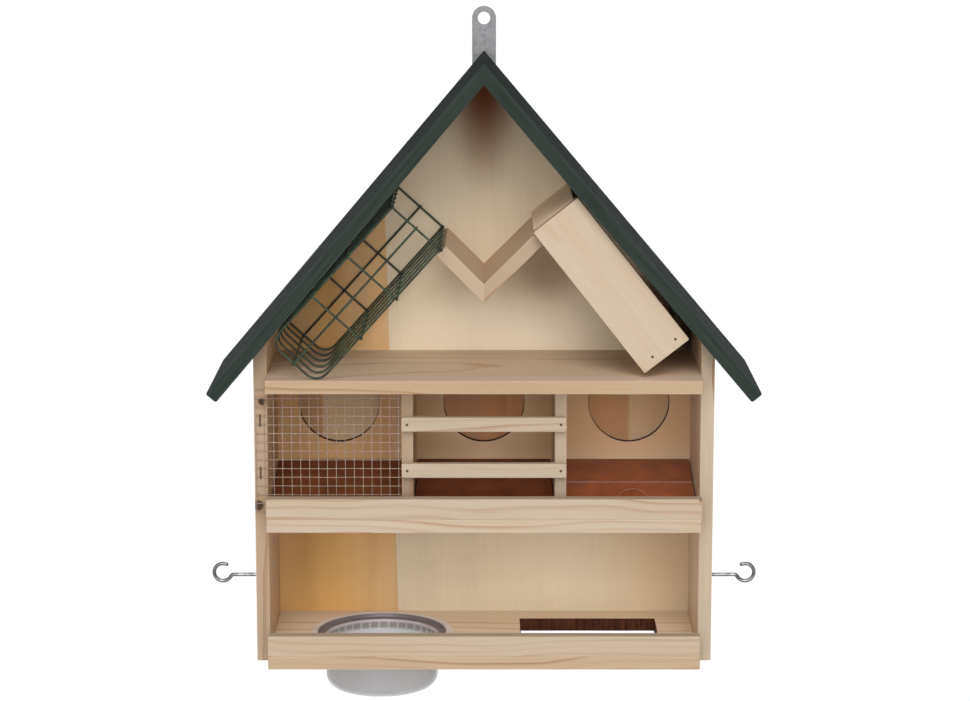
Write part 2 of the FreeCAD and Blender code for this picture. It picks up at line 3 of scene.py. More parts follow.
import bmesh
import bpy
import numpy as np
from mathutils.geometry import convex_hull_2d, tessellate_polygon
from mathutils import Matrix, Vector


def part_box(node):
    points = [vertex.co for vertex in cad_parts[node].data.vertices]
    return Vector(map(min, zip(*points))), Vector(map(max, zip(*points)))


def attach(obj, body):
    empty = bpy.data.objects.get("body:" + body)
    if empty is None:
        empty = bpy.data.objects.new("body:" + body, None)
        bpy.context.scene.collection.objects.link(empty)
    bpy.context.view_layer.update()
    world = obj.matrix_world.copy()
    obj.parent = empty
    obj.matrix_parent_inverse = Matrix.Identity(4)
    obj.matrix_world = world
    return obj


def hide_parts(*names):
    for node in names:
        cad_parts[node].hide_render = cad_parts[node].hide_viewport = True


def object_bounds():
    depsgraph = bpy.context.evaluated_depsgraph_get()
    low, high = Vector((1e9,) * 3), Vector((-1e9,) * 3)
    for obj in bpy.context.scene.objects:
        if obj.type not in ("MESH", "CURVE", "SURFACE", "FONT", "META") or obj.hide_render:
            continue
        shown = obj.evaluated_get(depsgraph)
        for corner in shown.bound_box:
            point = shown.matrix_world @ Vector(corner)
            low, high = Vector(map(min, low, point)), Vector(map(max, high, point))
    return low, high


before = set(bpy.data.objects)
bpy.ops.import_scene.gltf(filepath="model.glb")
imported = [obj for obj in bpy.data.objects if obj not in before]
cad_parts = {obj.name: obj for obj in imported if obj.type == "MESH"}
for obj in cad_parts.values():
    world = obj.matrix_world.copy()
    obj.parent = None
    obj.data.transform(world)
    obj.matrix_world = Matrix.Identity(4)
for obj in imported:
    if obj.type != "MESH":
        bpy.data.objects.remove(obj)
cad_low, cad_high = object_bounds()

# Looks of the bird feeding house: planed pine boards, a plywood back, a green stained roof, wire goods
# and a clear bowl. Lengths are in metres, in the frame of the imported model, unless a line says millimetres.

SEED = 7
MM = 0.001
ROOMS = ("left", "middle", "right")

# Rounding of arrises and corners
EASE = 0.45 * MM
THIN_EASE = 0.3 * MM
SHEET_EASE = 0.25 * MM
PANE_EASE = 0.2 * MM
ROOF_EASE = 0.9 * MM
CORNER = 0.9 * MM
MITRE_CORNER = 0.25 * MM
MITRE_REACH = 0.1 * MM
SHEET_CORNER = 0.5 * MM
SLOT_CORNER = 0.6 * MM
ROOF_CORNER = 1.6 * MM
PLATE_CORNER = 2 * MM
EASE_STEPS = 3
ARC_STEPS = 4
DOME_STEPS = 3
ARRIS_SPACING = 7 * MM

# Holes and round outlines
HOLE_RADIUS = 30 * MM
BOWL_HOLE_RADIUS = 48.6 * MM
NOTCH_RADIUS = 12 * MM
NOTCH_RISE = 4.2 * MM
COVER_RADIUS = 34 * MM
LUG_RADIUS = 9 * MM
HANGER_RADIUS = 4.6 * MM
PLATE_HALF = 8.7 * MM
# Left and right from the middle, near and far from the wall fronts
SLOT_EDGES = (27 * MM, 127 * MM, 13 * MM, 77.5 * MM)

# What counts as one point, as no side at all and as a straight run, and the timber the boards are cut from
MERGE_DISTANCE = 1e-7
MERGE_DIGITS = 7
SHORTEST_SIDE = 0.01 * MM
STRAIGHT_ANGLE = 0.02
TIMBER_LENGTH = 9

# Unit vectors along the two directions of a flat face and square to it, for a face seen along each axis
PLANES = {"x": np.array([(0, 1, 0), (0, 0, 1), (1, 0, 0)], float),
          "y": np.array([(1, 0, 0), (0, 0, 1), (0, -1, 0)], float),
          "z": np.eye(3)}
RIGHT, BACK, UP = np.eye(3)

chance = np.random.default_rng(SEED)


def span(node):
    """Lowest and highest corner of a node as arrays."""
    low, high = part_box(node)
    return np.array(low), np.array(high)


front, foot = span("left_wall")[0][1:]


def house(x, y, z):
    """A point from millimetres: x from the middle, y behind the wall fronts, z above the wall foot."""
    return np.array([x * MM, front + y * MM, foot + z * MM])


panel_low, panel_high = span("back_panel")
panel_middle = float((panel_low[1] + panel_high[1]) / 2)
pale_line_level = float(house(0, 0, 130.8)[2])
bowl_middle = house(-75.0, 40.0, 9.6)


# Shader nodes

def node(tree, kind, *inputs, output=0, **settings):
    """A shader node: its settings, then its inputs in order, each a socket to link, a value or None."""
    made = tree.nodes.new(kind)
    for name, setting in settings.items():
        setattr(made, name, setting)
    for socket, given in zip(made.inputs, inputs):
        if isinstance(given, bpy.types.NodeSocket):
            tree.links.new(given, socket)
        elif given is not None:
            socket.default_value = given
    return made.outputs[output]


def maths(tree, operation, a, b=None, c=None):
    """A sum, product or other step of reckoning with up to three numbers."""
    return node(tree, "ShaderNodeMath", a, b, c, operation=operation)


def stretched(tree, vector, scales):
    """A coordinate multiplied along each axis."""
    return node(tree, "ShaderNodeVectorMath", vector, scales, operation="MULTIPLY")


def scaled(tree, colour, factor):
    """A colour made lighter or darker by a factor."""
    return node(tree, "ShaderNodeVectorMath", colour, None, None, factor, operation="SCALE")


def length(tree, vector):
    """How far a coordinate lies from zero."""
    return node(tree, "ShaderNodeVectorMath", vector, operation="LENGTH", output=1)


def number_of(tree, vector, axis):
    """One number of a coordinate: 0 to the right, 1 to the back, 2 up."""
    return node(tree, "ShaderNodeSeparateXYZ", vector, output=axis)


def noise(tree, vector, scale, detail):
    """Cloudy noise, so many clouds to the metre."""
    return node(tree, "ShaderNodeTexNoise", vector, None, scale, detail)


def streaks(tree, vector, scales, detail=3.0):
    """Noise drawn out into streaks, with its own number of clouds to the metre along each axis."""
    return noise(tree, stretched(tree, vector, scales), 1.0, detail)


def spread(tree, value, low, high, to_low=0.0, to_high=1.0):
    """A value taken from one range to another with smooth ends."""
    return node(tree, "ShaderNodeMapRange", value, low, high, to_low, to_high,
                interpolation_type="SMOOTHSTEP")


def blended(tree, factor, a, b):
    """Two colours mixed by a factor; a colour is a socket or three numbers."""
    mixer = tree.nodes.new("ShaderNodeMix")
    mixer.data_type = "RGBA"
    for socket, given in zip((mixer.inputs[0], mixer.inputs[6], mixer.inputs[7]), (factor, a, b)):
        if isinstance(given, bpy.types.NodeSocket):
            tree.links.new(given, socket)
        else:
            socket.default_value = (*given, 1.0)
    return mixer.outputs[2]


def attribute(tree, name, output="Fac"):
    """A number or vector kept at every point of the piece."""
    reader = tree.nodes.new("ShaderNodeAttribute")
    reader.attribute_name = name
    return reader.outputs[output]


def object_place(tree):
    """The place on the piece, in metres."""
    return tree.nodes.new("ShaderNodeTexCoord").outputs["Object"]


def finish(name, colour=None, roughness=0.5, **sockets):
    """A material with one principled shader whose sockets are set; returns the material, tree and shader."""
    material = bpy.data.materials.new(name)
    material.use_nodes = True
    tree = material.node_tree
    shader = tree.nodes["Principled BSDF"]
    shader.inputs["Roughness"].default_value = roughness
    if colour:
        shader.inputs["Base Color"].default_value = (*colour, 1.0)
    for label, given in sockets.items():
        shader.inputs[label.replace("_", " ").title().replace("Ior", "IOR")].default_value = given
    return material, tree, shader


def wear(tree, shader, colour, roughness=None, height=None, strength=0.2, depth=0.2 * MM):
    """Links a colour, a roughness and a bump height to the shader."""
    tree.links.new(colour, shader.inputs["Base Color"])
    if roughness is not None:
        tree.links.new(roughness, shader.inputs["Roughness"])
    if height is not None:
        bump = tree.nodes.new("ShaderNodeBump")
        bump.inputs["Strength"].default_value = strength
        bump.inputs["Distance"].default_value = depth
        tree.links.new(height, bump.inputs["Height"])
        tree.links.new(bump.outputs[0], shader.inputs["Normal"])


# Finishes

PALE_PINE = (0.375, 0.31, 0.233)
PINK_PINE = (0.34, 0.243, 0.163)
EDGE_PALE = (0.37, 0.275, 0.18)
EDGE_PINK = (0.345, 0.235, 0.145)
LATE_WOOD = (0.25, 0.14, 0.068)
END_BROWN = (0.23, 0.14, 0.07)
END_SHARE = 0.4
KNOT_BROWN = (0.038, 0.015, 0.008)
KNOT_RAG = 0.9 * MM
RING_WIDTH = 5.0 * MM
RING_DRIFT = 26 * MM
RING_RIPPLE = 1.2 * MM


def pine(name, knots=(), pale=PALE_PINE, pink=PINK_PINE):
    """Planed pine: growth rings about a pith beside the board, bent by slow noise, with fine fibres.

    The grain attribute holds the place along the grain and the two distances from the pith. A knot is its
    middle and its radius."""
    material, tree, shader = finish(name, roughness=0.62, specular_ior_level=0.3)
    grain = attribute(tree, "grain", "Vector")
    drift = streaks(tree, grain, (5.0, 16.0, 16.0), 2.0)
    ripple = streaks(tree, grain, (22.0, 90.0, 90.0), 2.0)
    radius = length(tree, stretched(tree, grain, (0.0, 1.0, 1.0)))
    radius = maths(tree, "MULTIPLY_ADD", drift, RING_DRIFT, radius)
    radius = maths(tree, "MULTIPLY_ADD", ripple, RING_RIPPLE, radius)
    turns = maths(tree, "DIVIDE", radius, RING_WIDTH)
    phase = maths(tree, "FRACT", turns)
    rise = spread(tree, phase, 0.5, 0.93)
    fall = spread(tree, phase, 0.95, 1.0, 1.0, 0.0)
    late = maths(tree, "MULTIPLY", rise, fall)
    year = node(tree, "ShaderNodeTexWhiteNoise", None, maths(tree, "FLOOR", turns), noise_dimensions="1D")
    patchy = spread(tree, streaks(tree, grain, (6.0, 60.0, 60.0), 2.0), 0.3, 0.7, 0.4, 1.0)
    bold = maths(tree, "MULTIPLY", spread(tree, year, 0.2, 0.95, 0.06, 1.0), patchy)
    fibre = streaks(tree, grain, (14.0, 1500.0, 1500.0))
    cloud = streaks(tree, grain, (5.0, 38.0, 38.0), 2.0)
    tone = maths(tree, "ADD", attribute(tree, "tone"), spread(tree, cloud, 0.3, 0.7, -0.18, 0.22))
    colour = blended(tree, tone, pale, pink)
    colour = blended(tree, maths(tree, "MULTIPLY", late, bold), colour, LATE_WOOD)
    colour = blended(tree, spread(tree, fibre, 0.25, 0.75, 0.0, 0.16), colour, LATE_WOOD)
    end_share = maths(tree, "MULTIPLY", attribute(tree, "end_grain"), END_SHARE)
    colour = blended(tree, end_share, colour, END_BROWN)
    # Painted light and shadow: planed faces and sawn edges made lighter or darker, piece by piece, for how
    # light falls on them
    colour = scaled(tree, colour, attribute(tree, "shade"))
    place = object_place(tree)
    for centre, size in knots:
        away = node(tree, "ShaderNodeVectorMath", place, tuple(centre), operation="DISTANCE", output=1)
        ragged = maths(tree, "MULTIPLY_ADD", noise(tree, place, 900.0, 2.0), KNOT_RAG, away)
        halo = spread(tree, away, 0.8 * size, 2.6 * size, 0.55, 0.0)
        mark = spread(tree, ragged, 0.75 * size, 1.25 * size, 1.0, 0.0)
        colour = blended(tree, halo, colour, LATE_WOOD)
        colour = blended(tree, mark, colour, KNOT_BROWN)
    rough = spread(tree, fibre, 0.2, 0.8, 0.54, 0.72)
    height = maths(tree, "MULTIPLY_ADD", late, 0.5, fibre)
    wear(tree, shader, colour, rough, height, strength=0.25, depth=0.12 * MM)
    return material


VENEER_PALE = (0.65, 0.54, 0.39)
VENEER_GREY = (0.60, 0.50, 0.37)
VENEER_ORANGE = (0.62, 0.35, 0.12)
JOINT_BLUR = 0.4 * MM
INNER_BLUR = 0.2 * MM
PANEL_JOINT = -77 * MM
PANEL_JOINT_LEAN = 0.0279
# Soft patches on the panel's inner face, most of them painted shadow and painted light, in millimetres: the
# middle across and above the wall foot and the reach across and upwards, then the colour and its strength
PANEL_PAINTED_LIGHT_AND_TONE = (
    (0, 416, 34, 100, (0.15, 0.03, 0.0), 0.94),         # painted shadow under the ridge
    (20, 155, 700, 62, (0.60, 0.355, 0.172), 0.78),     # painted warm shadow behind the food rooms
    (0, 158, 60, 50, (0.74, 0.55, 0.36), 0.75),         # painted light behind the slats
    (140, 60, 80, 90, (0.56, 0.40, 0.25), 0.7),         # lower right corner
    (20, 228, 120, 36, (0.82, 0.71, 0.56), 0.65),       # painted light above the attic shelf
    (47, 267, 32, 26, (0.25, 0.165, 0.10), 0.5),        # painted shadow of the right cradle arm
    (130, 248, 26, 44, (0.06, 0.024, 0.010), 0.85),     # painted shadow under the box
    (152, 222, 22, 40, (0.045, 0.014, 0.005), 0.95))    # painted shadow in the corner beside the box
# For each cover the place of the veneer's joint across the house, in millimetres, and the colours beside it
COVER_VENEERS = {"left": (-120.8, (0.485, 0.275, 0.122), (0.585, 0.42, 0.245)),
                 "middle": (17.0, (0.545, 0.19, 0.048), (0.60, 0.235, 0.07)),
                 "right": (108.5, (0.50, 0.20, 0.045), (0.565, 0.345, 0.172))}


def veneer(name, joint, left_colour, right_colour, painted_patches=(), lean=0.0):
    """Plywood face: upright veneer with a butt joint at one place across, wavy figure and fine pores.

    The joint's place is that at the hanger's level, and it moves to the left by the lean for every unit of
    height. A patch is a soft oval on the inner face, strongest in its middle; on the back panel most patches
    are painted shadow and painted light."""
    material, tree, shader = finish(name, roughness=0.6, specular_ior_level=0.12)
    place = object_place(tree)
    across, depth, level = (number_of(tree, place, axis) for axis in range(3))
    across = maths(tree, "MULTIPLY_ADD", level, lean, across)
    figure = streaks(tree, place, (42.0, 20.0, 3.2))
    bands = streaks(tree, place, (14.0, 5.0, 1.2), 2.0)
    pores = streaks(tree, place, (1100.0, 200.0, 22.0))
    side = spread(tree, across, joint - JOINT_BLUR, joint + JOINT_BLUR)
    colour = blended(tree, side, left_colour, right_colour)
    deep = blended(tree, side, tuple(0.8 * c for c in left_colour), tuple(0.93 * c for c in right_colour))
    colour = blended(tree, spread(tree, figure, 0.35, 0.7), colour, deep)
    colour = blended(tree, spread(tree, bands, 0.35, 0.65, 0.0, 0.3), colour, VENEER_GREY)
    colour = blended(tree, spread(tree, pores, 0.4, 0.8, 0.0, 0.08), colour, LATE_WOOD)
    inner = spread(tree, depth, panel_middle - INNER_BLUR, panel_middle + INNER_BLUR, 1.0, 0.0)
    # Painted shadow and light: each patch blends its colour into the inner face only
    for x, z, across_reach, up_reach, patch_colour, strength in painted_patches:
        away = node(tree, "ShaderNodeVectorMath", place, tuple(house(x, 0, z)), operation="SUBTRACT")
        away = length(tree, stretched(tree, away, (1 / (across_reach * MM), 0.0, 1 / (up_reach * MM))))
        share = maths(tree, "MULTIPLY", inner, spread(tree, away, 0.15, 1.0, strength, 0.0))
        colour = blended(tree, share, colour, patch_colour)
    rough = spread(tree, pores, 0.2, 0.8, 0.52, 0.7)
    wear(tree, shader, colour, rough, pores, strength=0.2, depth=0.1 * MM)
    return material


CORE_BROWN = (0.36, 0.225, 0.12)
CORE_HALF = (0.95 * MM, 1.2 * MM)
CORE_RAG = 0.4 * MM


def ply_edge():
    """Sawn plywood edge: three layers across the thickness, the middle one end grain."""
    material, tree, shader = finish("plywood_edge", roughness=0.75, specular_ior_level=0.25)
    place = object_place(tree)
    layer = maths(tree, "ABSOLUTE", maths(tree, "SUBTRACT", number_of(tree, place, 1), panel_middle))
    ragged = maths(tree, "MULTIPLY_ADD", noise(tree, place, 400.0, 2.0), CORE_RAG, layer)
    fleck = streaks(tree, place, (300.0, 900.0, 300.0))
    colour = blended(tree, spread(tree, ragged, *CORE_HALF), CORE_BROWN, VENEER_PALE)
    colour = blended(tree, spread(tree, fleck, 0.35, 0.75, 0.0, 0.4), colour, LATE_WOOD)
    wear(tree, shader, colour, None, fleck, strength=0.3, depth=0.2 * MM)
    return material


SCORCH_BLACK = (0.020, 0.006, 0.003)
SCORCH_BROWN = (0.062, 0.018, 0.007)
SCORCH_PALE = (0.11, 0.038, 0.015)


def scorched():
    """Edge left by a hot cutter: dark brown, with upright streaks and paler patches."""
    material, tree, shader = finish("scorched_edge", roughness=0.7, specular_ior_level=0.08)
    place = object_place(tree)
    streak = streaks(tree, place, (700.0, 500.0, 60.0))
    patch = noise(tree, place, 60.0, 2.0)
    colour = blended(tree, spread(tree, streak, 0.3, 0.7), SCORCH_BLACK, SCORCH_BROWN)
    colour = blended(tree, spread(tree, patch, 0.5, 0.8, 0.0, 0.4), colour, SCORCH_PALE)
    wear(tree, shader, colour, None, streak, strength=0.3, depth=0.15 * MM)
    return material


ROOF_GREEN = (0.0165, 0.0225, 0.019)
ROOF_BRUSHED = (0.031, 0.039, 0.0345)
ROOF_DEEP = (0.010, 0.013, 0.010)
ROOF_WORN = (0.060, 0.068, 0.062)


def green_stain():
    """Dark green stain brushed on along the grain, thin over the raised rings and worn at the arrises."""
    material, tree, shader = finish("green_stain", roughness=0.5, specular_ior_level=0.003)
    grain = attribute(tree, "grain", "Vector")
    brush = streaks(tree, grain, (18.0, 420.0, 420.0))
    cloud = streaks(tree, grain, (9.0, 50.0, 50.0))
    speck = noise(tree, grain, 1600.0, 2.0)
    colour = blended(tree, spread(tree, brush, 0.3, 0.75, 0.0, 0.6), ROOF_GREEN, ROOF_BRUSHED)
    colour = blended(tree, spread(tree, cloud, 0.4, 0.75, 0.0, 0.5), colour, ROOF_DEEP)
    rubbed = maths(tree, "MULTIPLY", attribute(tree, "arris"), spread(tree, cloud, 0.3, 0.6, 0.25, 0.95))
    colour = blended(tree, rubbed, colour, ROOF_WORN)
    # Painted light and shadow: broad faces and edges made lighter or darker for how light falls on them
    colour = scaled(tree, colour, attribute(tree, "shade"))
    rough = spread(tree, brush, 0.25, 0.8, 0.36, 0.58)
    height = maths(tree, "MULTIPLY_ADD", speck, 0.4, brush)
    wear(tree, shader, colour, rough, height, strength=0.35, depth=0.2 * MM)
    return material


def brown_facing(name, dark, light):
    """Brown resin-faced board: mottled red brown with a satin skin and fine scratches."""
    material, tree, shader = finish(name, roughness=0.42, specular_ior_level=0.12)
    place = object_place(tree)
    mottle = streaks(tree, place, (90.0, 60.0, 60.0), 4.0)
    fine = streaks(tree, place, (1500.0, 260.0, 260.0), 2.0)
    colour = blended(tree, spread(tree, mottle, 0.3, 0.72), dark, light)
    scratch = tuple(1.5 * c for c in light)
    colour = blended(tree, spread(tree, fine, 0.45, 0.8, 0.0, 0.3), colour, scratch)
    rough = spread(tree, mottle, 0.3, 0.7, 0.34, 0.52)
    wear(tree, shader, colour, rough, fine, strength=0.15, depth=0.08 * MM)
    return material


ZINC_DULL = (0.13, 0.13, 0.135)
ZINC_GREY = (0.19, 0.19, 0.195)
ZINC_RUBBED = (0.24, 0.24, 0.245)


def galvanised():
    """Hot dipped zinc on sheet steel: large dull spangles and light rubbing marks along the strap."""
    material, tree, shader = finish("galvanised_sheet", roughness=0.4, metallic=1.0)
    place = object_place(tree)
    cells = node(tree, "ShaderNodeTexVoronoi", place, None, 420.0, output=1)
    spangle = node(tree, "ShaderNodeSeparateColor", cells)
    rub = streaks(tree, place, (900.0, 900.0, 45.0))
    colour = blended(tree, spangle, ZINC_DULL, ZINC_GREY)
    colour = blended(tree, spread(tree, rub, 0.45, 0.75, 0.0, 0.5), colour, ZINC_RUBBED)
    rough = maths(tree, "MULTIPLY_ADD", spangle, 0.14, spread(tree, rub, 0.3, 0.7, 0.3, 0.42))
    wear(tree, shader, colour, rough, rub, strength=0.12, depth=0.08 * MM)
    return material


def plated_wire(name, dull, bright, smoothest, roughest, metal=1.0):
    """Drawn and plated wire: patches of duller zinc and small pits."""
    material, tree, shader = finish(name, roughness=smoothest, metallic=metal)
    place = object_place(tree)
    patch = noise(tree, place, 260.0, 3.0)
    pits = noise(tree, place, 2600.0, 2.0)
    colour = blended(tree, spread(tree, patch, 0.35, 0.65), dull, bright)
    rough = spread(tree, patch, 0.35, 0.65, roughest, smoothest)
    wear(tree, shader, colour, rough, pits, strength=0.1, depth=0.05 * MM)
    return material


STEEL_BROWN = (0.055, 0.045, 0.038)
STEEL_RUST = (0.13, 0.062, 0.03)


def dark_steel():
    """Nail and staple steel gone brown, with rust in patches."""
    material, tree, shader = finish("browned_steel", roughness=0.55, metallic=0.6)
    patch = noise(tree, object_place(tree), 700.0, 3.0)
    colour = blended(tree, spread(tree, patch, 0.4, 0.65), STEEL_BROWN, STEEL_RUST)
    rough = spread(tree, patch, 0.4, 0.65, 0.42, 0.75)
    wear(tree, shader, colour, rough, patch, strength=0.25, depth=0.06 * MM)
    return material


COAT_GREEN = (0.006, 0.013, 0.006)
COAT_RUBBED = (0.017, 0.040, 0.018)


def coated_green():
    """Dark green plastic coat on wire: glossy, with uneven gloss, paler where it is rubbed."""
    material, tree, shader = finish("green_coat", roughness=0.28, specular_ior_level=0.38)
    place = object_place(tree)
    patch = noise(tree, place, 130.0, 3.0)
    gloss = noise(tree, place, 700.0, 2.0)
    colour = blended(tree, spread(tree, patch, 0.35, 0.7), COAT_GREEN, COAT_RUBBED)
    wear(tree, shader, colour, spread(tree, gloss, 0.3, 0.7, 0.22, 0.4))
    return material


def clear_moulding():
    """Frosted moulded plastic: its tint and milkiness at every point, with a faint cloudy haze; the tint
    holds painted highlights and painted reflections in places.
    """
    material, tree, shader = finish("clear_moulding", roughness=0.3, specular_ior_level=0.5)
    place = object_place(tree)
    haze = noise(tree, place, 45.0, 2.0)
    swirl = streaks(tree, place, (60.0, 60.0, 260.0))
    colour = scaled(tree, attribute(tree, "tint", "Vector"), spread(tree, haze, 0.3, 0.7, 0.92, 1.08))
    tree.links.new(attribute(tree, "milk"), shader.inputs["Alpha"])
    wear(tree, shader, colour, spread(tree, swirl, 0.3, 0.7, 0.38, 0.46))
    return material


PALE_LINE_HALF = (0.3 * MM, 0.7 * MM)
PALE_LINE_STRENGTH = 0.028
RUB_THICKENS = 1.6


def clear_sheet(name, film, dull, bright):
    """Clear sheet with faint rub marks and one faint pale line across it; the film is how much of it is seen
    at all.
    """
    material, tree, shader = finish(name, roughness=0.06, specular_ior_level=0.5)
    place = object_place(tree)
    rub = streaks(tree, place, (50.0, 50.0, 900.0))
    colour = blended(tree, spread(tree, rub, 0.4, 0.7), dull, bright)
    off_line = maths(tree, "ABSOLUTE", maths(tree, "SUBTRACT", number_of(tree, place, 2), pale_line_level))
    pale_line = spread(tree, off_line, *PALE_LINE_HALF, PALE_LINE_STRENGTH, 0.0)
    seen = maths(tree, "ADD", spread(tree, rub, 0.45, 0.8, film, RUB_THICKENS * film), pale_line)
    tree.links.new(seen, shader.inputs["Alpha"])
    wear(tree, shader, colour, spread(tree, rub, 0.5, 0.8, 0.04, 0.16))
    return material


WALL_KNOTS = [(house(-161.2, 0.0, 114.8), 4.2 * MM), (house(-157.6, 0.4, 190.5), 3.2 * MM)]
LIP_KNOTS = [(house(153.0, -23.0, 124.0), 1.1 * MM)]

pine_wood = pine("planed_pine")
edge_pine = pine("sawn_pine_edge", pale=EDGE_PALE, pink=EDGE_PINK)
knotty_pine = pine("knotty_pine", WALL_KNOTS)
lip_pine = pine("lip_pine", LIP_KNOTS)
panel_veneer = veneer("panel_veneer", PANEL_JOINT, VENEER_ORANGE, VENEER_PALE, PANEL_PAINTED_LIGHT_AND_TONE, PANEL_JOINT_LEAN)
cover_veneers = {room: veneer(room + "_cover_veneer", joint * MM, *colours)
                 for room, (joint, *colours) in COVER_VENEERS.items()}
plywood_edge = ply_edge()
scorched_edge = scorched()
roof_stain = green_stain()
dark_facing = brown_facing("brown_facing", dark=(0.118, 0.031, 0.013), light=(0.19, 0.054, 0.023))
# A paler copy of the brown facing for the right ramp: painted haze and reflection of the clear pane in front
# of it
painted_haze_facing = brown_facing("brown_facing_painted_haze", dark=(0.196, 0.045, 0.012), light=(0.293, 0.076, 0.0215))
zinc_sheet = galvanised()
mesh_zinc = plated_wire("mesh_zinc", dull=(0.245, 0.18, 0.14), bright=(0.32, 0.24, 0.19),
                        smoothest=0.5, roughest=0.65, metal=0.2)
bright_zinc = plated_wire("bright_zinc", dull=(0.13, 0.13, 0.133), bright=(0.22, 0.22, 0.225),
                          smoothest=0.16, roughest=0.28)
browned_steel = dark_steel()
green_coat = coated_green()
clear_plastic = clear_moulding()
clear_pane = clear_sheet("clear_sheet", film=0.004, dull=(0.75, 0.77, 0.77), bright=(0.85, 0.86, 0.86))
clear_edge = clear_sheet("clear_sheet_edge", film=0.09, dull=(0.70, 0.72, 0.71), bright=(0.85, 0.86, 0.85))


# Surfaces

def grid_faces(rows, columns, wrap_rows=False):
    """Quads between neighbouring rows and columns of a grid of points whose columns close to a ring."""
    r = np.arange(rows if wrap_rows else rows - 1)[:, None]
    c = np.arange(columns)[None, :]
    r_next = (r + 1) % rows
    c_next = (c + 1) % columns
    corners = [r * columns + c, r * columns + c_next, r_next * columns + c_next, r_next * columns + c]
    return np.stack([np.broadcast_to(k, (r.size, c.size)) for k in corners], -1).reshape(-1, 4)


def joined(surfaces):
    """Several surfaces as one: their points stacked and their faces counted on."""
    starts = np.cumsum([0] + [len(points) for points, _ in surfaces])
    return (np.concatenate([points for points, _ in surfaces]),
            np.concatenate([faces + start for (_, faces), start in zip(surfaces, starts)]))


def store(mesh, name, values):
    """Keeps one number or one vector for each point of a mesh."""
    kind, key = ("FLOAT_VECTOR", "vector") if values.ndim == 2 else ("FLOAT", "value")
    layer = mesh.attributes.new(name, kind, "POINT")
    layer.data.foreach_set(key, np.ascontiguousarray(values, np.float32).ravel())


def show(name, mesh, body, nodes, materials):
    """Puts a finished mesh in the scene in place of its nodes, riding on its body."""
    for material in materials:
        mesh.materials.append(material)
    piece = bpy.data.objects.new(name, mesh)
    bpy.context.scene.collection.objects.link(piece)
    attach(piece, body)
    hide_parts(*nodes)


def smooth_piece(name, surface, slot, material, body="house", **marks):
    """A piece of smooth surfaces, in place of the node of that name, with its poles closed by merging points.

    The marks are numbers or vectors kept for every point."""
    points, faces = surface
    mesh = bpy.data.meshes.new(name + "_finished")
    mesh.from_pydata(points.tolist(), [], faces.tolist())
    for mark, values in marks.items():
        store(mesh, mark, values)
    merged = bmesh.new()
    merged.from_mesh(mesh)
    bmesh.ops.remove_doubles(merged, verts=merged.verts, dist=MERGE_DISTANCE)
    merged.to_mesh(mesh)
    merged.free()
    mesh.shade_smooth()
    show(name + "_finished", mesh, body, [name], [material])


def turns_of(corners):
    """For each corner of a closed outline the way the side before it runs, and the angle turned there."""
    arrive = corners - np.roll(corners, 1, 0)
    arrive /= np.linalg.norm(arrive, axis=1, keepdims=True)
    leave = np.roll(arrive, -1, 0)
    across = arrive[:, 0] * leave[:, 1] - arrive[:, 1] * leave[:, 0]
    return arrive, np.arctan2(across, (arrive * leave).sum(1))


def rounded(corners, radius=CORNER, steps=ARC_STEPS):
    """A closed outline with an arc at every corner: its points, outward normals and room for an ease.

    At each corner the normal turns evenly from the one side's to the next one's, and the arc's point is its
    centre plus the radius along the normal, or minus it where the corner turns inwards."""
    corners = np.asarray(corners, float)
    radius = np.broadcast_to(radius, len(corners))
    arrive, turn = turns_of(corners)
    bent = (np.sign(turn) * radius)[:, None]
    outward = np.stack([arrive[:, 1], -arrive[:, 0]], 1)
    centre = corners - arrive * (radius * np.tan(np.abs(turn) / 2))[:, None] - outward * bent
    angle = turn[:, None] * np.linspace(0, 1, steps + 1)
    cos, sin = np.cos(angle), np.sin(angle)
    normals = np.stack([outward[:, :1] * cos - outward[:, 1:] * sin,
                        outward[:, :1] * sin + outward[:, 1:] * cos], -1)
    points = centre[:, None] + normals * bent[:, None]
    return points.reshape(-1, 2), normals.reshape(-1, 2), np.repeat(radius, steps + 1)


def round_turn(count):
    """Angles of equal steps round a whole turn."""
    return np.linspace(0, 2 * np.pi, count, endpoint=False)


def ring(centre, radius, count=72):
    """A hole's circle as an outline: it runs clockwise and its normals point to the centre."""
    angle = -round_turn(count)
    way = np.stack([np.cos(angle), np.sin(angle)], 1)
    return np.asarray(centre) + radius * way, -way, np.full(count, radius)


def divided(loop):
    """An outline whose long runs are cut into equal steps no longer than the arris spacing."""
    points, normals, room = loop
    step = np.roll(points, -1, 0) - points
    turn = np.roll(normals, -1, 0) - normals
    growth = np.roll(room, -1) - room
    counts = np.maximum(1, np.ceil(np.linalg.norm(step, axis=1) / ARRIS_SPACING)).astype(int)
    index = np.repeat(np.arange(len(points)), counts)
    share = (np.arange(counts.sum()) - np.repeat(np.cumsum(counts) - counts, counts)) / counts[index]
    points = points[index] + share[:, None] * step[index]
    normals = normals[index] + share[:, None] * turn[index]
    normals /= np.linalg.norm(normals, axis=1, keepdims=True)
    return points, normals, room[index] + share * growth[index]


def points_of(name):
    """All corner points of a node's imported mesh."""
    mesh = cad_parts[name].data
    points = np.empty(3 * len(mesh.vertices))
    mesh.vertices.foreach_get("co", points)
    return points.reshape(-1, 3)


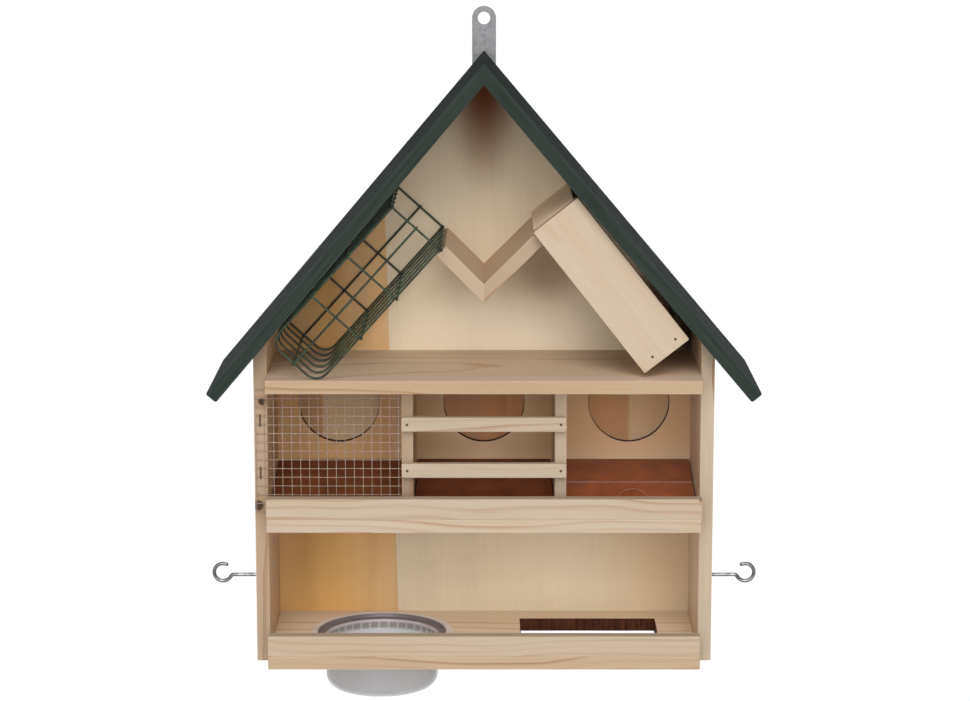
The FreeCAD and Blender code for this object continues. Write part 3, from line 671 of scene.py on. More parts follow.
def solids_of(name):
    """The corner points of each separate solid of a node: the lowest label spreads along its edges."""
    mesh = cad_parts[name].data
    points, same = np.unique(np.round(points_of(name), MERGE_DIGITS), axis=0, return_inverse=True)
    ends = np.empty(2 * len(mesh.edges), np.int32)
    mesh.edges.foreach_get("vertices", ends)
    ends = same.ravel()[ends].reshape(-1, 2)
    label = np.arange(len(points))
    while True:
        lowest = label[ends].min(1)
        spreading = label.copy()
        np.minimum.at(spreading, ends[:, 0], lowest)
        np.minimum.at(spreading, ends[:, 1], lowest)
        if (spreading == label).all():
            return [points[label == k] for k in np.unique(label)]
        label = spreading


def outline_of(points, axis):
    """The convex outline of a solid seen along an axis, counter-clockwise."""
    flat = np.unique(np.round((points @ PLANES[axis].T)[:, :2], MERGE_DIGITS), axis=0)
    corners = flat[convex_hull_2d(flat.tolist())]
    middle = corners.mean(0)
    corners = corners[np.argsort(np.arctan2(corners[:, 1] - middle[1], corners[:, 0] - middle[0]))]
    step = np.roll(corners, -1, 0) - corners
    corners = corners[np.linalg.norm(step, axis=1) > SHORTEST_SIDE]
    return corners[np.abs(turns_of(corners)[1]) > STRAIGHT_ANGLE]


UNEVENNESS = 0.35
LEAST_EASE, MOST_EASE = 0.4, 2.0
ROOM_SHARE = 0.9


def eased_sheet(loops, low, high, ease):
    """A flat sheet with rounded arrises: each outline carried through a quarter arc, a straight side and
    a quarter arc, from one face to the other, and the two faces filled.

    The arc's radius varies a little along the outline, as it does on hand-sanded wood. Returns the points
    and normals, the faces, the loop each side face belongs to and how near each point is to an arris."""
    quarter = np.linspace(0, np.pi / 2, EASE_STEPS + 1)
    back = quarter[::-1]
    inset = np.concatenate([1 - np.sin(quarter), 1 - np.sin(back)])
    drop = np.concatenate([1 - np.cos(quarter), np.cos(back) - 1])
    level = np.repeat([low, high], EASE_STEPS + 1)
    out = np.concatenate([np.sin(quarter), np.sin(back)])
    along = np.concatenate([-np.cos(quarter), np.cos(back)])
    near = np.concatenate([np.sin(2 * quarter), np.sin(2 * back)])
    rows = len(inset)
    points, normals, arris, sides, owner, bottom, top = ([] for _ in range(7))
    start = 0
    for number, (places, way, room) in enumerate(loops):
        count = len(places)
        uneven = chance.normal(0, 1, count)
        uneven = (uneven + np.roll(uneven, 1) + np.roll(uneven, 2)) / 3
        size = ease * np.clip(1 + UNEVENNESS * uneven, LEAST_EASE, MOST_EASE)
        size = np.minimum(size, ROOM_SHARE * room)
        flat = places[None] - way[None] * (inset[:, None] * size)[..., None]
        height = level[:, None] + drop[:, None] * size
        points.append(np.concatenate([flat, height[..., None]], -1).reshape(-1, 3))
        sideways = way[None] * out[:, None, None]
        through = np.broadcast_to(along[:, None, None], (rows, count, 1))
        normals.append(np.concatenate([sideways, through], -1).reshape(-1, 3))
        arris.append(np.repeat(near, count))
        sides.append(grid_faces(rows, count) + start)
        owner.append(np.full(len(sides[-1]), number))
        bottom.append(np.arange(count) + start)
        top.append(np.arange(count) + start + (rows - 1) * count)
        start += rows * count
    points = np.concatenate(points)
    edges = [[(u, v, 0) for u, v, _ in points[edge].tolist()] for edge in bottom]
    bottom = np.concatenate(bottom)
    top = np.concatenate(top)
    fill = np.array(tessellate_polygon(edges))
    a, b, c = (points[bottom[fill[:, k]], :2] for k in range(3))
    area = (b[:, 0] - a[:, 0]) * (c[:, 1] - a[:, 1]) - (b[:, 1] - a[:, 1]) * (c[:, 0] - a[:, 0])
    fill = np.where((area > 0)[:, None], fill, fill[:, ::-1])
    faces = np.concatenate(sides).tolist() + top[fill].tolist() + bottom[fill[:, ::-1]].tolist()
    return points, np.concatenate(normals), faces, np.concatenate(owner), np.concatenate(arris)


def sheet_piece(name, axis, loops, low, high, grain, body="house", slot="pine", material=pine_wood,
                sides=None, tone=0.3, shade=(1.0, 1.0), pith=(30, 45), ease=EASE, nodes=None):
    """A flat piece sawn from sheet or board, in place of the node of that name.

    The grain attribute is the place along the grain, across it and through the board, counted from the pith,
    whose distances are in millimetres. The painted light factors make the planed faces and the sawn edges
    lighter or darker, as painted light and shadow for how light falls on the piece; the sides give each
    loop's own material."""
    flat, normals, faces, owner, arris = eased_sheet([divided(loop) for loop in loops], low, high, ease)
    points = flat @ PLANES[axis]
    normals = normals @ PLANES[axis]
    mesh = bpy.data.meshes.new(name + "_finished")
    mesh.from_pydata(points.tolist(), [], faces)
    mesh.shade_smooth()
    mesh.normals_split_custom_set_from_vertices(normals.tolist())
    through = PLANES[axis][2]
    along = grain / np.linalg.norm(grain)
    across = np.cross(through, along)
    centre = (points.min(0) + points.max(0)) / 2
    lengthways = chance.uniform(0, TIMBER_LENGTH)
    own = (points - centre) @ np.stack([along, across, through], 1)
    store(mesh, "grain", own + np.array([lengthways, *(MM * distance for distance in pith)]))
    store(mesh, "tone", np.full(len(points), tone))
    # Painted light and shadow: broad faces get the first factor, edges the second, blended by how square each
    # face is
    face = np.abs(normals @ through) ** 2
    store(mesh, "shade", shade[1] + (shade[0] - shade[1]) * face)
    store(mesh, "arris", arris)
    store(mesh, "end_grain", np.abs(normals @ along) ** 3)
    sides = sides or [material] * len(loops)
    materials = list(dict.fromkeys([material, *sides]))
    index = np.zeros(len(faces), np.int32)
    index[:len(owner)] = np.array([materials.index(side) for side in sides])[owner]
    mesh.polygons.foreach_set("material_index", index)
    show(name + "_finished", mesh, body, nodes or [name], materials)


def board(name, axis, grain, points=None, corner=CORNER, mitred=False, **looks):
    """A plain board: the node's own outline seen along the axis, with eased corners and arrises.

    A mitred board keeps tight corners where it meets its neighbour in the middle of the house."""
    points = points_of(name) if points is None else points
    levels = points @ PLANES[axis][2]
    outline = outline_of(points, axis)
    radius = np.where(np.abs(outline[:, 0]) < MITRE_REACH, MITRE_CORNER, corner) if mitred else corner
    sheet_piece(name, axis, [rounded(outline, radius)], levels.min(), levels.max(), grain, **looks)


def tube(path, radius, square_to, sides=10, closed=False):
    """A round wire: a circle carried along a path that lies in the plane square to a direction.

    Open ends are closed by half domes."""
    path = np.asarray(path, float)
    radius = np.broadcast_to(np.asarray(radius, float), (len(path),))
    if closed:
        tangent = np.roll(path, -1, 0) - np.roll(path, 1, 0)
    else:
        tangent = np.gradient(path, axis=0)
    tangent = tangent / np.linalg.norm(tangent, axis=1, keepdims=True)
    if not closed:
        bulge = np.linspace(0, np.pi / 2, DOME_STEPS + 1)[1:]
        head = path[0] - tangent[0] * (radius[0] * np.sin(bulge))[::-1, None]
        tail = path[-1] + tangent[-1] * (radius[-1] * np.sin(bulge))[:, None]
        path = np.concatenate([head, path, tail])
        radius = np.concatenate([radius[0] * np.cos(bulge)[::-1], radius, radius[-1] * np.cos(bulge)])
        tangent = np.pad(tangent, ((DOME_STEPS, DOME_STEPS), (0, 0)), "edge")
    side = np.cross(square_to, tangent)
    angle = round_turn(sides)[:, None]
    circle = side[:, None] * np.cos(angle) + np.asarray(square_to) * np.sin(angle)
    points = path[:, None] + radius[:, None, None] * circle
    return points.reshape(-1, 3), grid_faces(len(path), sides, wrap_rows=closed)


def turned(profile, centre, axis, count, swelling=0.0):
    """A surface turned about an axis: every profile point, a radius and a height, swept round.

    The swelling is added to the radius; it may differ for each profile point and each step of the turn."""
    profile = np.asarray(profile, float)
    first = RIGHT if abs(axis[0]) < 0.5 else BACK
    second = np.cross(axis, first)
    angle = round_turn(count)
    radius = profile[:, :1] + swelling
    points = (np.asarray(centre) + profile[:, 1][:, None, None] * np.asarray(axis)
              + (radius * np.cos(angle))[..., None] * first + (radius * np.sin(angle))[..., None] * second)
    return points.reshape(-1, 3), grid_faces(len(profile), count)


def oval(centre, across, tall, start, end, steps):
    """Points of an arc of an ellipse in its plane: the centre plus the cosine and the sine of an angle, given
    in degrees, times the two half widths."""
    angle = np.radians(np.linspace(start, end, steps + 1))
    return np.asarray(centre) + np.stack([across * np.cos(angle), tall * np.sin(angle)], 1)


def arc(centre, radius, start, end, steps):
    """Points of an arc of a circle in its plane, angles in degrees."""
    return oval(centre, radius, radius, start, end, steps)


# Boards and sheets

def long_side(name):
    """Direction of the longest side of a node's outline seen from the front."""
    corners = outline_of(points_of(name), "y")
    sides = np.roll(corners, -1, 0) - corners
    longest = sides[np.argmax(np.linalg.norm(sides, axis=1))]
    return np.array([longest[0], 0.0, longest[1]])


# The pine boards in the order of making: name, axis it is seen along, way of its grain, tone from pale to
# pink, painted light and shadow as factors for the planed faces and the sawn edges, distances of the pith,
# and what only this board has
BOARDS = (
    ("left_wall", "y", UP, 0.85, (0.92, 1.8), (55, 20), {"material": knotty_pine}),
    ("right_wall", "y", UP, 0.25, (1.0, 1.8), (40, 30), {}),
    ("attic_shelf", "z", RIGHT, 0.6, (1.75, 0.98), (20, 70), {"sides": [edge_pine]}),
    ("middle_shelf", "z", RIGHT, 0.15, (1.5, 1.05), (75, 35), {}),
    ("middle_lip", "y", RIGHT, 0.1, (1.0, 1.0), (22, 26), {"material": lip_pine}),
    ("lower_lip", "y", RIGHT, 0.3, (1.0, 1.0), (30, 20), {}),
    ("left_divider", "x", UP, 0.8, (1.7, 0.85), (60, 24), {}),
    ("right_divider", "x", UP, 0.3, (1.7, 0.9), (45, 36), {}),
    ("upper_slat", "y", RIGHT, 0.2, (0.95, 1.2), (28, 30), {}),
    ("lower_slat", "y", RIGHT, 0.05, (1.0, 1.2), (12, 40), {}),
    ("left_cradle_arm", "y", -long_side("left_cradle_arm"), 0.6, (1.0, 1.7), (40, 25), {"mitred": True}),
    ("right_cradle_arm", "y", long_side("right_cradle_arm"), 0.9, (0.92, 1.7), (34, 32), {"mitred": True}),
    ("box_front_board", "y", long_side("box_front_board"), 0.2, (1.12, 1.4), (10, 75), {}),
    ("box_top_end", "y", BACK, 0.6, (1.3, 2.65), (36, 24), {}),
    ("box_bottom_end", "y", BACK, 0.6, (1.2, 1.8), (26, 36), {}))


def make_boards():
    """Walls, shelves, lips, dividers, slats, cradle arms and box as planed pine."""
    for name, axis, grain, tone, shade, pith, own_looks in BOARDS:
        board(name, axis, grain, tone=tone, shade=shade, pith=pith, **own_looks)


def make_cleats():
    """The strips under the ramps' back edges."""
    for points, room in zip(sorted(solids_of("ramp_cleats"), key=lambda p: p[:, 0].min()), ROOMS):
        board(room + "_cleat", "x", RIGHT, points, nodes=["ramp_cleats"], tone=0.5)


def make_ramps():
    """Sloping brown boards in the three rooms; the right one is paler, painted with the haze and reflection
    of the clear pane in front of it.
    """
    for room, facing in zip(ROOMS, (dark_facing, dark_facing, painted_haze_facing)):
        board(room + "_ramp", "x", RIGHT, slot="hardboard", material=facing, ease=THIN_EASE)


def cover_place(room):
    """Middle, hole level and pivot level of a filling cover."""
    low, high = span(room + "_fill_cover")
    return (low[0] + high[0]) / 2, low[2] + COVER_RADIUS, high[2] - LUG_RADIUS


def make_back_panel():
    """Gabled plywood with three round holes whose edges are scorched."""
    loops = [rounded(outline_of(points_of("back_panel"), "y"), SHEET_CORNER)]
    loops += [ring(cover_place(room)[:2], HOLE_RADIUS) for room in ROOMS]
    sheet_piece("back_panel", "y", loops, -panel_high[1], -panel_low[1], UP, slot="plywood",
                material=panel_veneer, sides=[plywood_edge] + 3 * [scorched_edge], ease=SHEET_EASE)


def make_covers():
    """Covers behind the holes: a disc and a round lug above it, joined by the neck's straight sides."""
    meet = math.degrees(math.asin(LUG_RADIUS / COVER_RADIUS))
    for room in ROOMS:
        name = room + "_fill_cover"
        x, level, pivot = cover_place(room)
        disc = arc((x, level), COVER_RADIUS, 90 + meet, 450 - meet, steps=84)
        lug = arc((x, pivot), LUG_RADIUS, 0, 180, steps=24)
        points = np.concatenate([disc, lug])
        normals = np.concatenate([(disc - (x, level)) / COVER_RADIUS, (lug - (x, pivot)) / LUG_RADIUS])
        low, high = span(name)
        sheet_piece(name, "y", [(points, normals, np.full(len(points), LUG_RADIUS))], -high[1], -low[1], UP,
                    body=room + "_cover", slot="plywood", material=cover_veneers[room],
                    sides=[scorched_edge], ease=THIN_EASE)


def make_floor():
    """The floor with a round hole for the bowl and a slot, both with scorched edges."""
    low, high = span("floor_board")
    left, right, near, far = SLOT_EDGES
    slot = [(left, front + near), (left, front + far), (right, front + far), (right, front + near)]
    loops = [rounded(outline_of(points_of("floor_board"), "z")),
             ring(bowl_middle[:2], BOWL_HOLE_RADIUS, count=96), rounded(slot, SLOT_CORNER)]
    # The floor's top is painted much lighter and its edges a little darker, as painted light and shadow
    sheet_piece("floor_board", "z", loops, low[2], high[2], RIGHT, tone=0.05, shade=(1.9, 0.97),
                pith=(24, 62), sides=[edge_pine, scorched_edge, scorched_edge])


def make_pane():
    """Clear sheet with a round notch in its lower edge: an arc about a point a little above the edge."""
    low, high = span("seed_pane")
    corners = [(low[0], low[2]), (high[0], low[2]), (high[0], high[2]), (low[0], high[2])]
    sheet, ways, room = rounded(corners, SHEET_CORNER)
    dip = math.degrees(math.asin(NOTCH_RISE / NOTCH_RADIUS))
    centre = ((low[0] + high[0]) / 2, low[2] + NOTCH_RISE)
    notch = arc(centre, NOTCH_RADIUS, 180 + dip, -dip, steps=40)
    cut = ARC_STEPS + 1
    points = np.concatenate([sheet[:cut], notch, sheet[cut:]])
    normals = np.concatenate([ways[:cut], (centre - notch) / NOTCH_RADIUS, ways[cut:]])
    room = np.concatenate([room[:cut], np.full(len(notch), SHEET_CORNER), room[cut:]])
    sheet_piece("seed_pane", "y", [(points, normals, room)], -high[1], -low[1], UP, slot="clear_pane",
                material=clear_pane, sides=[clear_edge], ease=PANE_EASE)


def make_roof():
    """Two mitred boards with rubbed, slightly wavy arrises."""
    for name in ("left_roof_board", "right_roof_board"):
        # The roof's front faces are painted lighter and its top and underside a little darker, as painted
        # light and shadow
        board(name, "y", long_side(name), corner=ROOF_CORNER, mitred=True, slot="roof_green",
              material=roof_stain, shade=(1.2, 0.95), ease=ROOF_EASE)


def make_hanger():
    """Strap with two small corners below, a round head above and its hole."""
    low, high = span("hanger_plate")
    aside = PLATE_HALF - PLATE_CORNER
    bottom = low[2] + PLATE_CORNER
    ends = [((-aside, bottom), PLATE_CORNER, 180, 270), ((aside, bottom), PLATE_CORNER, 270, 360),
            ((0.0, 0.0), PLATE_HALF, 0, 180)]
    curves = [arc(*end, steps=24) for end in ends]
    points = np.concatenate(curves)
    normals = np.concatenate([(curve - end[0]) / end[1] for curve, end in zip(curves, ends)])
    loops = [(points, normals, np.full(len(points), PLATE_CORNER)),
             ring((0.0, 0.0), HANGER_RADIUS, count=56)]
    sheet_piece("hanger_plate", "y", loops, -high[1], -low[1], UP, slot="galvanised", material=zinc_sheet,
                ease=SHEET_EASE)


# Screws, nails and pins

# Radius of the head, its height and the radius of the shank
SCREWS = {"hanger_screws": (3.5 * MM, 1.8 * MM, 1.75 * MM),
          "cover_pivot_screws": (4.5 * MM, 2.0 * MM, 2.0 * MM)}
# Profile of a pan head from the bottom of its recess, in shares of the head's radius and height
PAN_HEAD = np.array([(0, 0.5), (0.1, 0.5), (0.14, 0.02), (0.6, 0), (0.85, 0.12), (0.97, 0.45), (1, 0.8),
                     (1, 1)])
RECESS_POINTS = slice(1, 3)
RECESS_REACH = 0.36
# Profiles from the top of the head or the foot: radius and distance along, in millimetres
NAIL = ((0, 0.05), (0.5, 0.02), (0.85, 0), (1.0, 0.12), (1.0, 0.6), (0.7, 0.9), (0.7, 17.2), (0, 18.8))
STOP_PIN = ((0, 0), (1.2, 0), (1.2, 8.6), (1.0, 9.1), (0.6, 9.3), (0, 9.3))


def back_end(solid, pick):
    """The middle of a solid that runs to the back, at its near or its far end."""
    centre = (solid.min(0) + solid.max(0)) / 2
    centre[1] = pick(solid[:, 1])
    return centre


def make_screws():
    """Pan heads with a cross recess: the recess's radius swells in four places round the turn."""
    angle = round_turn(64)
    for name, (head, height, shank) in SCREWS.items():
        made = []
        for solid in solids_of(name):
            reach = np.ptp(solid[:, 1])
            below_head = [(shank, height), (shank, reach), (0, reach)]
            profile = np.concatenate([PAN_HEAD * (head, height), below_head])
            recess = np.zeros((len(profile), 1))
            recess[RECESS_POINTS] = RECESS_REACH * head
            made.append(turned(profile, back_end(solid, np.max), -BACK, len(angle),
                               recess * np.cos(2 * angle) ** 6))
        smooth_piece(name, joined(made), "zinc", bright_zinc)


def make_nails():
    """Nails with small flat heads, along each packed nail's own line; the head is at its widest end."""
    for name in ("slat_nails", "box_nails", "roof_nails", "wall_nails", "panel_nails"):
        made = []
        for solid in solids_of(name):
            middle = solid.mean(0)
            way = np.linalg.svd(solid - middle)[2][0]
            along = (solid - middle) @ way
            out = np.linalg.norm(solid - middle - along[:, None] * way, axis=1)
            way = -way * np.sign(along[np.argmax(out)])
            top = middle + way * ((solid - middle) @ way).min()
            made.append(turned(np.array(NAIL) * MM, top, way, count=16))
        smooth_piece(name, joined(made), "zinc", green_coat if name == "roof_nails" else browned_steel)


def make_stop_pins():
    """Pins with a rounded tip that the covers rest against."""
    made = [turned(np.array(STOP_PIN) * MM, back_end(solid, np.min), BACK, count=20)
            for solid in solids_of("cover_stop_pins")]
    smooth_piece("cover_stop_pins", joined(made), "zinc", bright_zinc)


# Wire goods

def bent_path(corners, bend, steps, closed=False):
    """A run of straight lines with an arc at each corner, open or closed, in its own plane."""
    corners = np.array(corners, float)
    points = rounded(corners, bend, steps)[0]
    if closed:
        return points
    return np.concatenate([corners[:1], points[steps + 1:-steps - 1], corners[-1:]])


def stepped(path, spacing):
    """An open path with its long runs cut into equal steps; points closer than a fifth of one are dropped."""
    reach = np.concatenate([[0], np.cumsum(np.linalg.norm(np.diff(path, axis=0), axis=1))])
    even = np.linspace(0, reach[-1], max(2, int(reach[-1] / spacing)))
    every = np.unique(np.concatenate([reach, even]))
    every = every[np.concatenate([[True], np.diff(every) > 0.2 * spacing])]
    return np.stack([np.interp(every, reach, path[:, k]) for k in range(path.shape[1])], 1)


def swell(path, crossings, width, rise):
    """How much thicker a wire is along its path: a bell-shaped rise wherever another wire crosses it."""
    away = np.linalg.norm(path[:, None] - crossings[None], axis=-1).min(1)
    return 1 + rise * np.exp(-(away / width) ** 2)


def wander(count, reach, bends):
    """A slow random drift along a wire: straight runs between places no further out than its reach."""
    return np.interp(np.linspace(0, bends - 1, count), np.arange(bends), chance.uniform(-reach, reach, bends))


def house_path(path):
    """Points in millimetres, counted as house() counts them, moved to the frame of the model."""
    return path * MM + np.array([0, front, foot])


def in_plane(flat, still, place):
    """Points of a plane path in space: the axis that stays still has the same place all along."""
    return np.insert(flat, still, place, axis=1)


# Millimetres, but for the wire's radius and the reach of the zinc at a crossing
MESH_PITCH = 6.35
MESH_LEFT, MESH_FOOT = -162.3, 110.2
MESH_UPRIGHTS, MESH_BARS = 17, 15
UPRIGHT_ENDS, UPRIGHT_DEPTH, UPRIGHT_POINTS = (110.2, 199.7), -0.3, 91
BAR_ENDS, BAR_DEPTH, BAR_POINTS = (-162.0, -59.1), -0.9, 101
MESH_WANDER, MESH_BENDS = 0.14, 7
MESH_WIRE = 0.26 * MM
ZINC_REACH, ZINC_RISE = 0.9 * MM, 0.35


def make_mesh():
    """Welded wire cloth: straight wires that wander a little and thicken with zinc at each crossing."""
    uprights = np.arange(MESH_UPRIGHTS) * MESH_PITCH + MESH_LEFT
    bars = np.arange(MESH_BARS) * MESH_PITCH + MESH_FOOT
    made = []
    # The axis along which a wire keeps its place, the axis it runs along, and where it lies
    for still, run, places, crossed, ends, depth, count in (
            (0, 2, uprights, bars, UPRIGHT_ENDS, UPRIGHT_DEPTH, UPRIGHT_POINTS),
            (2, 0, bars, uprights, BAR_ENDS, BAR_DEPTH, BAR_POINTS)):
        for place in places:
            path = np.full((count, 3), depth)
            path[:, run] = np.linspace(*ends, count)
            path[:, still] = place + wander(count, MESH_WANDER, MESH_BENDS)
            crossings = np.full((len(crossed), 3), depth)
            crossings[:, run] = crossed
            crossings[:, still] = place
            path = house_path(path)
            thick = MESH_WIRE * swell(path, house_path(crossings), ZINC_REACH, ZINC_RISE)
            made.append(tube(path, thick, BACK, sides=6))
    smooth_piece("wire_mesh", joined(made), "galvanised", mesh_zinc)


def make_staples():
    """Staples over the mesh's left edge: a crown and two legs driven into the wall."""
    made = []
    for solid in solids_of("mesh_staples"):
        low, high = solid.min(0), solid.max(0)
        wire = (high[0] - low[0]) / 2
        run = [(high[1], low[2] + wire), (low[1] + wire, low[2] + wire), (low[1] + wire, high[2] - wire),
               (high[1], high[2] - wire)]
        flat = bent_path(run, 2 * wire, steps=6)
        made.append(tube(in_plane(flat, 0, (low[0] + high[0]) / 2), wire, RIGHT))
    smooth_piece("mesh_staples", joined(made), "zinc", browned_steel)


# Millimetres; the cage's corner under the ridge is counted as house() counts
CAGE_CORNER = (-62.957, 0, 332.506)
CAGE_LEAN = math.radians(48)
CAGE_LONG, CAGE_TALL = 129.5, 44.0
CAGE_WIRE = 0.8
HOOPS, LAST_HOOP, HOOP_PITCH = 6, 95.35, 22.9
HOOP_BEND, HOOP_WANDER, HOOP_BENDS = 10, 0.25, 5
LOOP_ROWS = (0.85, 47.35, 84.85)
LOOP_BEND, LOOP_LAP = 3.4, 1.7
CAGE_SPACING = 1.5
WELD_REACH, WELD_RISE = 1.6, 0.06


def make_cage():
    """Basket of bent wires: six hoops, three cross loops and one long loop, each in its own plane.

    In the basket's own frame x runs down the slope, y back and z away from the roof. The loops lie round the
    hoops, further out by one lap, and the cross loops go round the long one too, by two."""
    cos, sin = math.cos(CAGE_LEAN), math.sin(CAGE_LEAN)
    basket = np.array([(-cos, 0, -sin), (0, 1, 0), (sin, 0, -cos)])
    hoops = LAST_HOOP - HOOP_PITCH * np.arange(HOOPS)
    near, far = hoops[-1], hoops[0]
    long, tall, lap = CAGE_LONG, CAGE_TALL, LOOP_LAP
    made = []

    def lay(path, still, crossings, closed=False):
        thick = CAGE_WIRE * swell(path, np.array(crossings), WELD_REACH, WELD_RISE)
        path = house(*CAGE_CORNER) + (path * MM) @ basket
        made.append(tube(path, thick * MM, basket[still], sides=12, closed=closed))

    hoop = bent_path([(0, 0), (long, 0), (long, tall), (0, tall)], HOOP_BEND, steps=10)
    hoop = stepped(hoop, CAGE_SPACING)
    for y in hoops:
        path = in_plane(hoop, 1, y)
        path[:, 1] += wander(len(path), HOOP_WANDER, HOOP_BENDS)
        lay(path, 1, [(x, y, z) for x in LOOP_ROWS for z in (0, tall)] + [(long, y, tall / 2)])
    loop = bent_path([(near - 2 * lap, -lap), (far + 2 * lap, -lap), (far + 2 * lap, tall + lap),
                      (near - 2 * lap, tall + lap)], LOOP_BEND, steps=6, closed=True)
    loop = stepped(np.concatenate([loop, loop[:1]]), CAGE_SPACING)[:-1]
    for x in LOOP_ROWS:
        lay(in_plane(loop, 0, x), 0, [(x, y, z) for y in hoops for z in (-lap, tall + lap)], closed=True)
    end = long + lap
    long_loop = bent_path([(0, near - lap), (end, near - lap), (end, far + lap), (0, far + lap)],
                          LOOP_BEND, steps=8)
    long_loop = stepped(long_loop, CAGE_SPACING)
    lay(in_plane(long_loop, 2, tall / 2), 2, [(end, y, tall / 2) for y in hoops])
    smooth_piece("suet_cage", joined(made), "cage_green", green_coat, body="cage")


# Millimetres and degrees; the hook lies in a plane square to the wall
HOOK_WIRE, HOOK_LOOP, HOOK_BEND, HOOK_DROP = 1.35, 6.5, 3.0, 1.68
HOOK_OUT, HOOK_BACK, HOOK_LEVEL = 192.0, 50.0, 52.6
HOOK_LEAN, HOOK_END = 60.5, 475
SHANK_TIP, SHANK_POINTS, ELBOW_GAP = 156.5, 14, 0.5


def make_hooks():
    """Screw hooks: a straight shank, a small reverse bend and an open round loop."""
    lean = math.radians(HOOK_LEAN)
    turn_x = HOOK_OUT - HOOK_LOOP * math.sin(lean) - HOOK_BEND * math.sin(lean)
    shank_level = HOOK_LEVEL - HOOK_DROP
    shank = np.linspace((SHANK_TIP, shank_level), (turn_x - ELBOW_GAP, shank_level), SHANK_POINTS)
    elbow = arc((turn_x, shank_level - HOOK_BEND), HOOK_BEND, 90, 90 - HOOK_LEAN, steps=10)
    eye = arc((HOOK_OUT, HOOK_LEVEL), HOOK_LOOP, 270 - HOOK_LEAN, HOOK_END, steps=48)
    flat = np.concatenate([shank, elbow, eye[1:]])
    for side, name in ((-1, "left_hook"), (1, "right_hook")):
        path = house_path(in_plane(flat * (side, 1), 1, HOOK_BACK))
        smooth_piece(name, tube(path, HOOK_WIRE * MM, BACK, sides=20), "zinc", bright_zinc)


# Bowl

# Millimetres: the inner wall's radius at its top and how much it grows with height
WALL_RADIUS, WALL_TOP, WALL_TAPER = 40.0, -3.0, 0.5 / 26
RIBS = 36
RIB_POINTS = 9
RIB_WIDTH = 0.09
RIB_RISE = 0.55 * MM
RIB_FADE = (0.8, 1.0, 1.0, 0.9, 0.5)
# Painted highlight: the pale grey the ribs' crests are tinted to
RIB_PAINTED_HIGHLIGHT = np.array([0.55, 0.53, 0.53])
# Points of the profile by which the base and the rim lap on, and of the band painted dark inside the rim and
# the ledge
LAP_POINTS, BAND_POINTS, LEDGE_POINTS = 2, 6, 4


def make_bowl():
    """Clear bowl turned from one profile: base, wall, the step in the floor's hole, the rim, then the inside
    with a ledge and a ribbed wall. A rib is a narrow, bell-shaped rise of the wall, repeated round the turn,
    its crest tinted pale grey as a painted highlight. The band inside the rim is painted dark and the rim
    lightened in part, as painted reflection and painted highlight.

    The profile's radii and heights are in millimetres, the heights counted from the underside of the rim."""
    base_corner = oval((33, -29.5), 8, 9, -90, 0, steps=10)
    base = np.concatenate([[(0, -38.5), (12, -38.5), (24, -38.5)], base_corner])
    outside = np.concatenate([base, [(41.25, -16), (41.45, -3.6), (41.8, -2.9), (46.8, -2.8), (47.5, -2.6),
                                     (47.8, -2.0), (47.8, -0.5), (48.2, 0.0), (51.8, 0.0)]])
    rim = oval((52.0, 0.75), 0.5, 0.75, -80, 90, steps=8)
    step = [(50, 1.5), (47.6, 1.5), (46.8, 1.3), (46.35, 0.8), (46.3, -0.6), (46.0, -1.1), (45.4, -1.3),
            (42, -1.3), (40.9, -1.32), (40.35, -1.5), (40.05, -2.0)]
    levels = np.concatenate([np.linspace(-2.6, -8.6, 7), np.linspace(-11, -29, 8)])
    wall = np.stack([WALL_RADIUS + (levels - WALL_TOP) * WALL_TAPER, levels], 1)
    well_corner = oval((32.2, -29.5), 7.3, 7.5, 0, -90, steps=10)
    well = np.concatenate([well_corner, [(22, -37.0), (10, -37.0), (0, -37.0)]])
    profile = np.concatenate([outside, rim, step, wall, well]) * MM
    angle = round_turn(RIB_POINTS * RIBS)
    place = (angle / (2 * np.pi) * RIBS) % 1 - 0.5
    crest = np.exp(-(place / RIB_WIDTH) ** 2)
    first_rib = len(outside) + len(rim) + len(step) + 1
    after_ribs = first_rib + len(RIB_FADE)
    ribbed = np.zeros((len(profile), 1))
    ribbed[first_rib:after_ribs, 0] = RIB_FADE
    # How many profile points each stretch has, its tint, with painted light in places, and its milkiness
    based = len(base) + LAP_POINTS
    stretches = [(based, (0.335, 0.34, 0.342), 0.5),                        # base
                 (len(outside) - based, (0.34, 0.31, 0.29), 0.6),           # outside of the step
                 (len(rim) + LAP_POINTS, (0.78, 0.73, 0.69), 0.75),         # rim, its milky tint lightened in part as a painted highlight
                 (BAND_POINTS, (0.165, 0.142, 0.152), 0.88),                # band inside the rim painted dark for the scorched hole edge seen through it and reflected in it
                 (LEDGE_POINTS, (0.50, 0.46, 0.475), 0.92),                 # ledge
                 (len(RIB_FADE), (0.29, 0.265, 0.248), 0.8),                # ribbed wall
                 (len(profile) - after_ribs, (0.43, 0.405, 0.415), 0.52)]   # plain wall and well
    tint = np.concatenate([np.tile(colour, (count, 1)) for count, colour, _ in stretches])
    milk = np.concatenate([np.full(count, share) for count, _, share in stretches])
    # Painted highlight: the tint runs to pale grey along each rib's crest
    white = (ribbed * crest)[..., None]
    tint = tint[:, None] * (1 - white) + RIB_PAINTED_HIGHLIGHT * white
    surface = turned(profile, bowl_middle, UP, len(angle), -RIB_RISE * ribbed * crest)
    smooth_piece("water_bowl", surface, "clear_plastic", clear_plastic, body="bowl",
                 tint=tint.reshape(-1, 3), milk=np.repeat(milk, len(angle)))


make_boards()
make_cleats()
make_ramps()
make_back_panel()
make_covers()
make_floor()
make_pane()
make_roof()
make_hanger()
make_screws()
make_nails()
make_stop_pins()
make_mesh()
make_staples()
make_cage()
make_bowl()
make_hooks()

# Stage and camera

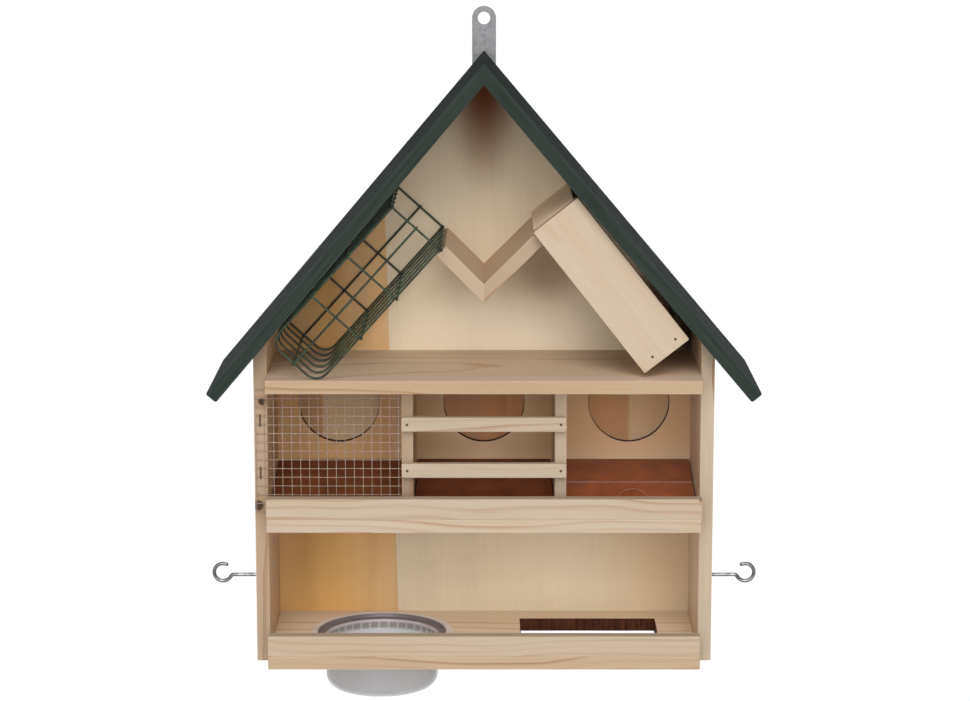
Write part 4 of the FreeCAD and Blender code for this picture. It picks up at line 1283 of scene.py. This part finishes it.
CAMERA_BACK = 1.958
CAMERA_RISE = 0.580
CAMERA_PITCH = math.radians(10.212)
CAMERA_RIGHT = 0.0007
FOCAL_PIXELS = 2813.0
IMAGE_WIDTH = 970
SENSOR_WIDTH = 36.0
FARTHEST_SEEN = 200.0
FLOOR_DROP = 1.2
FLOOR_REACH = 90.0
FLOOR_PALE = (0.93, 0.93, 0.93)
SKY = 0.12
BACKDROP = 1.05
# Name, strength, and in degrees the height above the horizon, the turn and the spread of each soft light
LIGHTS = (("front_light", 2.85, 14.0, 0.0, 56.0), ("upper_light", 1.4, 42.0, 0.0, 32.0),
          ("left_light", 0.7, 25.0, -90.0, 50.0), ("right_light", 0.7, 25.0, 90.0, 50.0),
          ("back_light", 1.3, 40.0, 180.0, 50.0))


def make_studio_floor():
    """A pale floor well below the house."""
    level = float(cad_low[2]) - FLOOR_DROP
    r = FLOOR_REACH
    mesh = bpy.data.meshes.new("floor")
    mesh.from_pydata([(-r, -r, level), (r, -r, level), (r, r, level), (-r, r, level)], [], [(0, 1, 2, 3)])
    mesh.materials.append(finish("pale_floor", FLOOR_PALE, 0.9, specular_ior_level=0.1)[0])
    floor = bpy.data.objects.new("floor", mesh)
    bpy.context.scene.collection.objects.link(floor)


def make_lights():
    """A white backdrop that gives little light itself, two soft lights in front and weaker ones around."""
    world = bpy.data.worlds.new("pale_sky")
    world.use_nodes = True
    tree = world.node_tree
    backdrop = tree.nodes["Background"]
    backdrop.inputs["Color"].default_value = (1.0, 1.0, 1.0, 1.0)
    seen = tree.nodes.new("ShaderNodeLightPath").outputs["Is Camera Ray"]
    tree.links.new(maths(tree, "MULTIPLY_ADD", seen, BACKDROP - SKY, SKY), backdrop.inputs["Strength"])
    bpy.context.scene.world = world
    for name, strength, height, turn, softness in LIGHTS:
        lamp = bpy.data.lights.new(name, "SUN")
        lamp.energy = strength
        lamp.angle = math.radians(softness)
        light = bpy.data.objects.new(name, lamp)
        light.rotation_euler = (math.radians(90 - height), 0.0, math.radians(turn))
        bpy.context.scene.collection.objects.link(light)


def make_camera():
    """The camera of the photograph: in front, above the roof's middle and tipped down."""
    lens = bpy.data.cameras.new("camera")
    lens.sensor_width = SENSOR_WIDTH
    lens.lens = FOCAL_PIXELS / IMAGE_WIDTH * SENSOR_WIDTH
    lens.clip_end = FARTHEST_SEEN
    camera = bpy.data.objects.new("camera", lens)
    camera.location = (CAMERA_RIGHT, front - CAMERA_BACK, foot + CAMERA_RISE)
    camera.rotation_euler = (math.pi / 2 - CAMERA_PITCH, 0.0, 0.0)
    bpy.context.scene.collection.objects.link(camera)
    bpy.context.scene.camera = camera


make_studio_floor()
make_lights()
make_camera()
bpy.context.scene.view_settings.view_transform = "Standard"
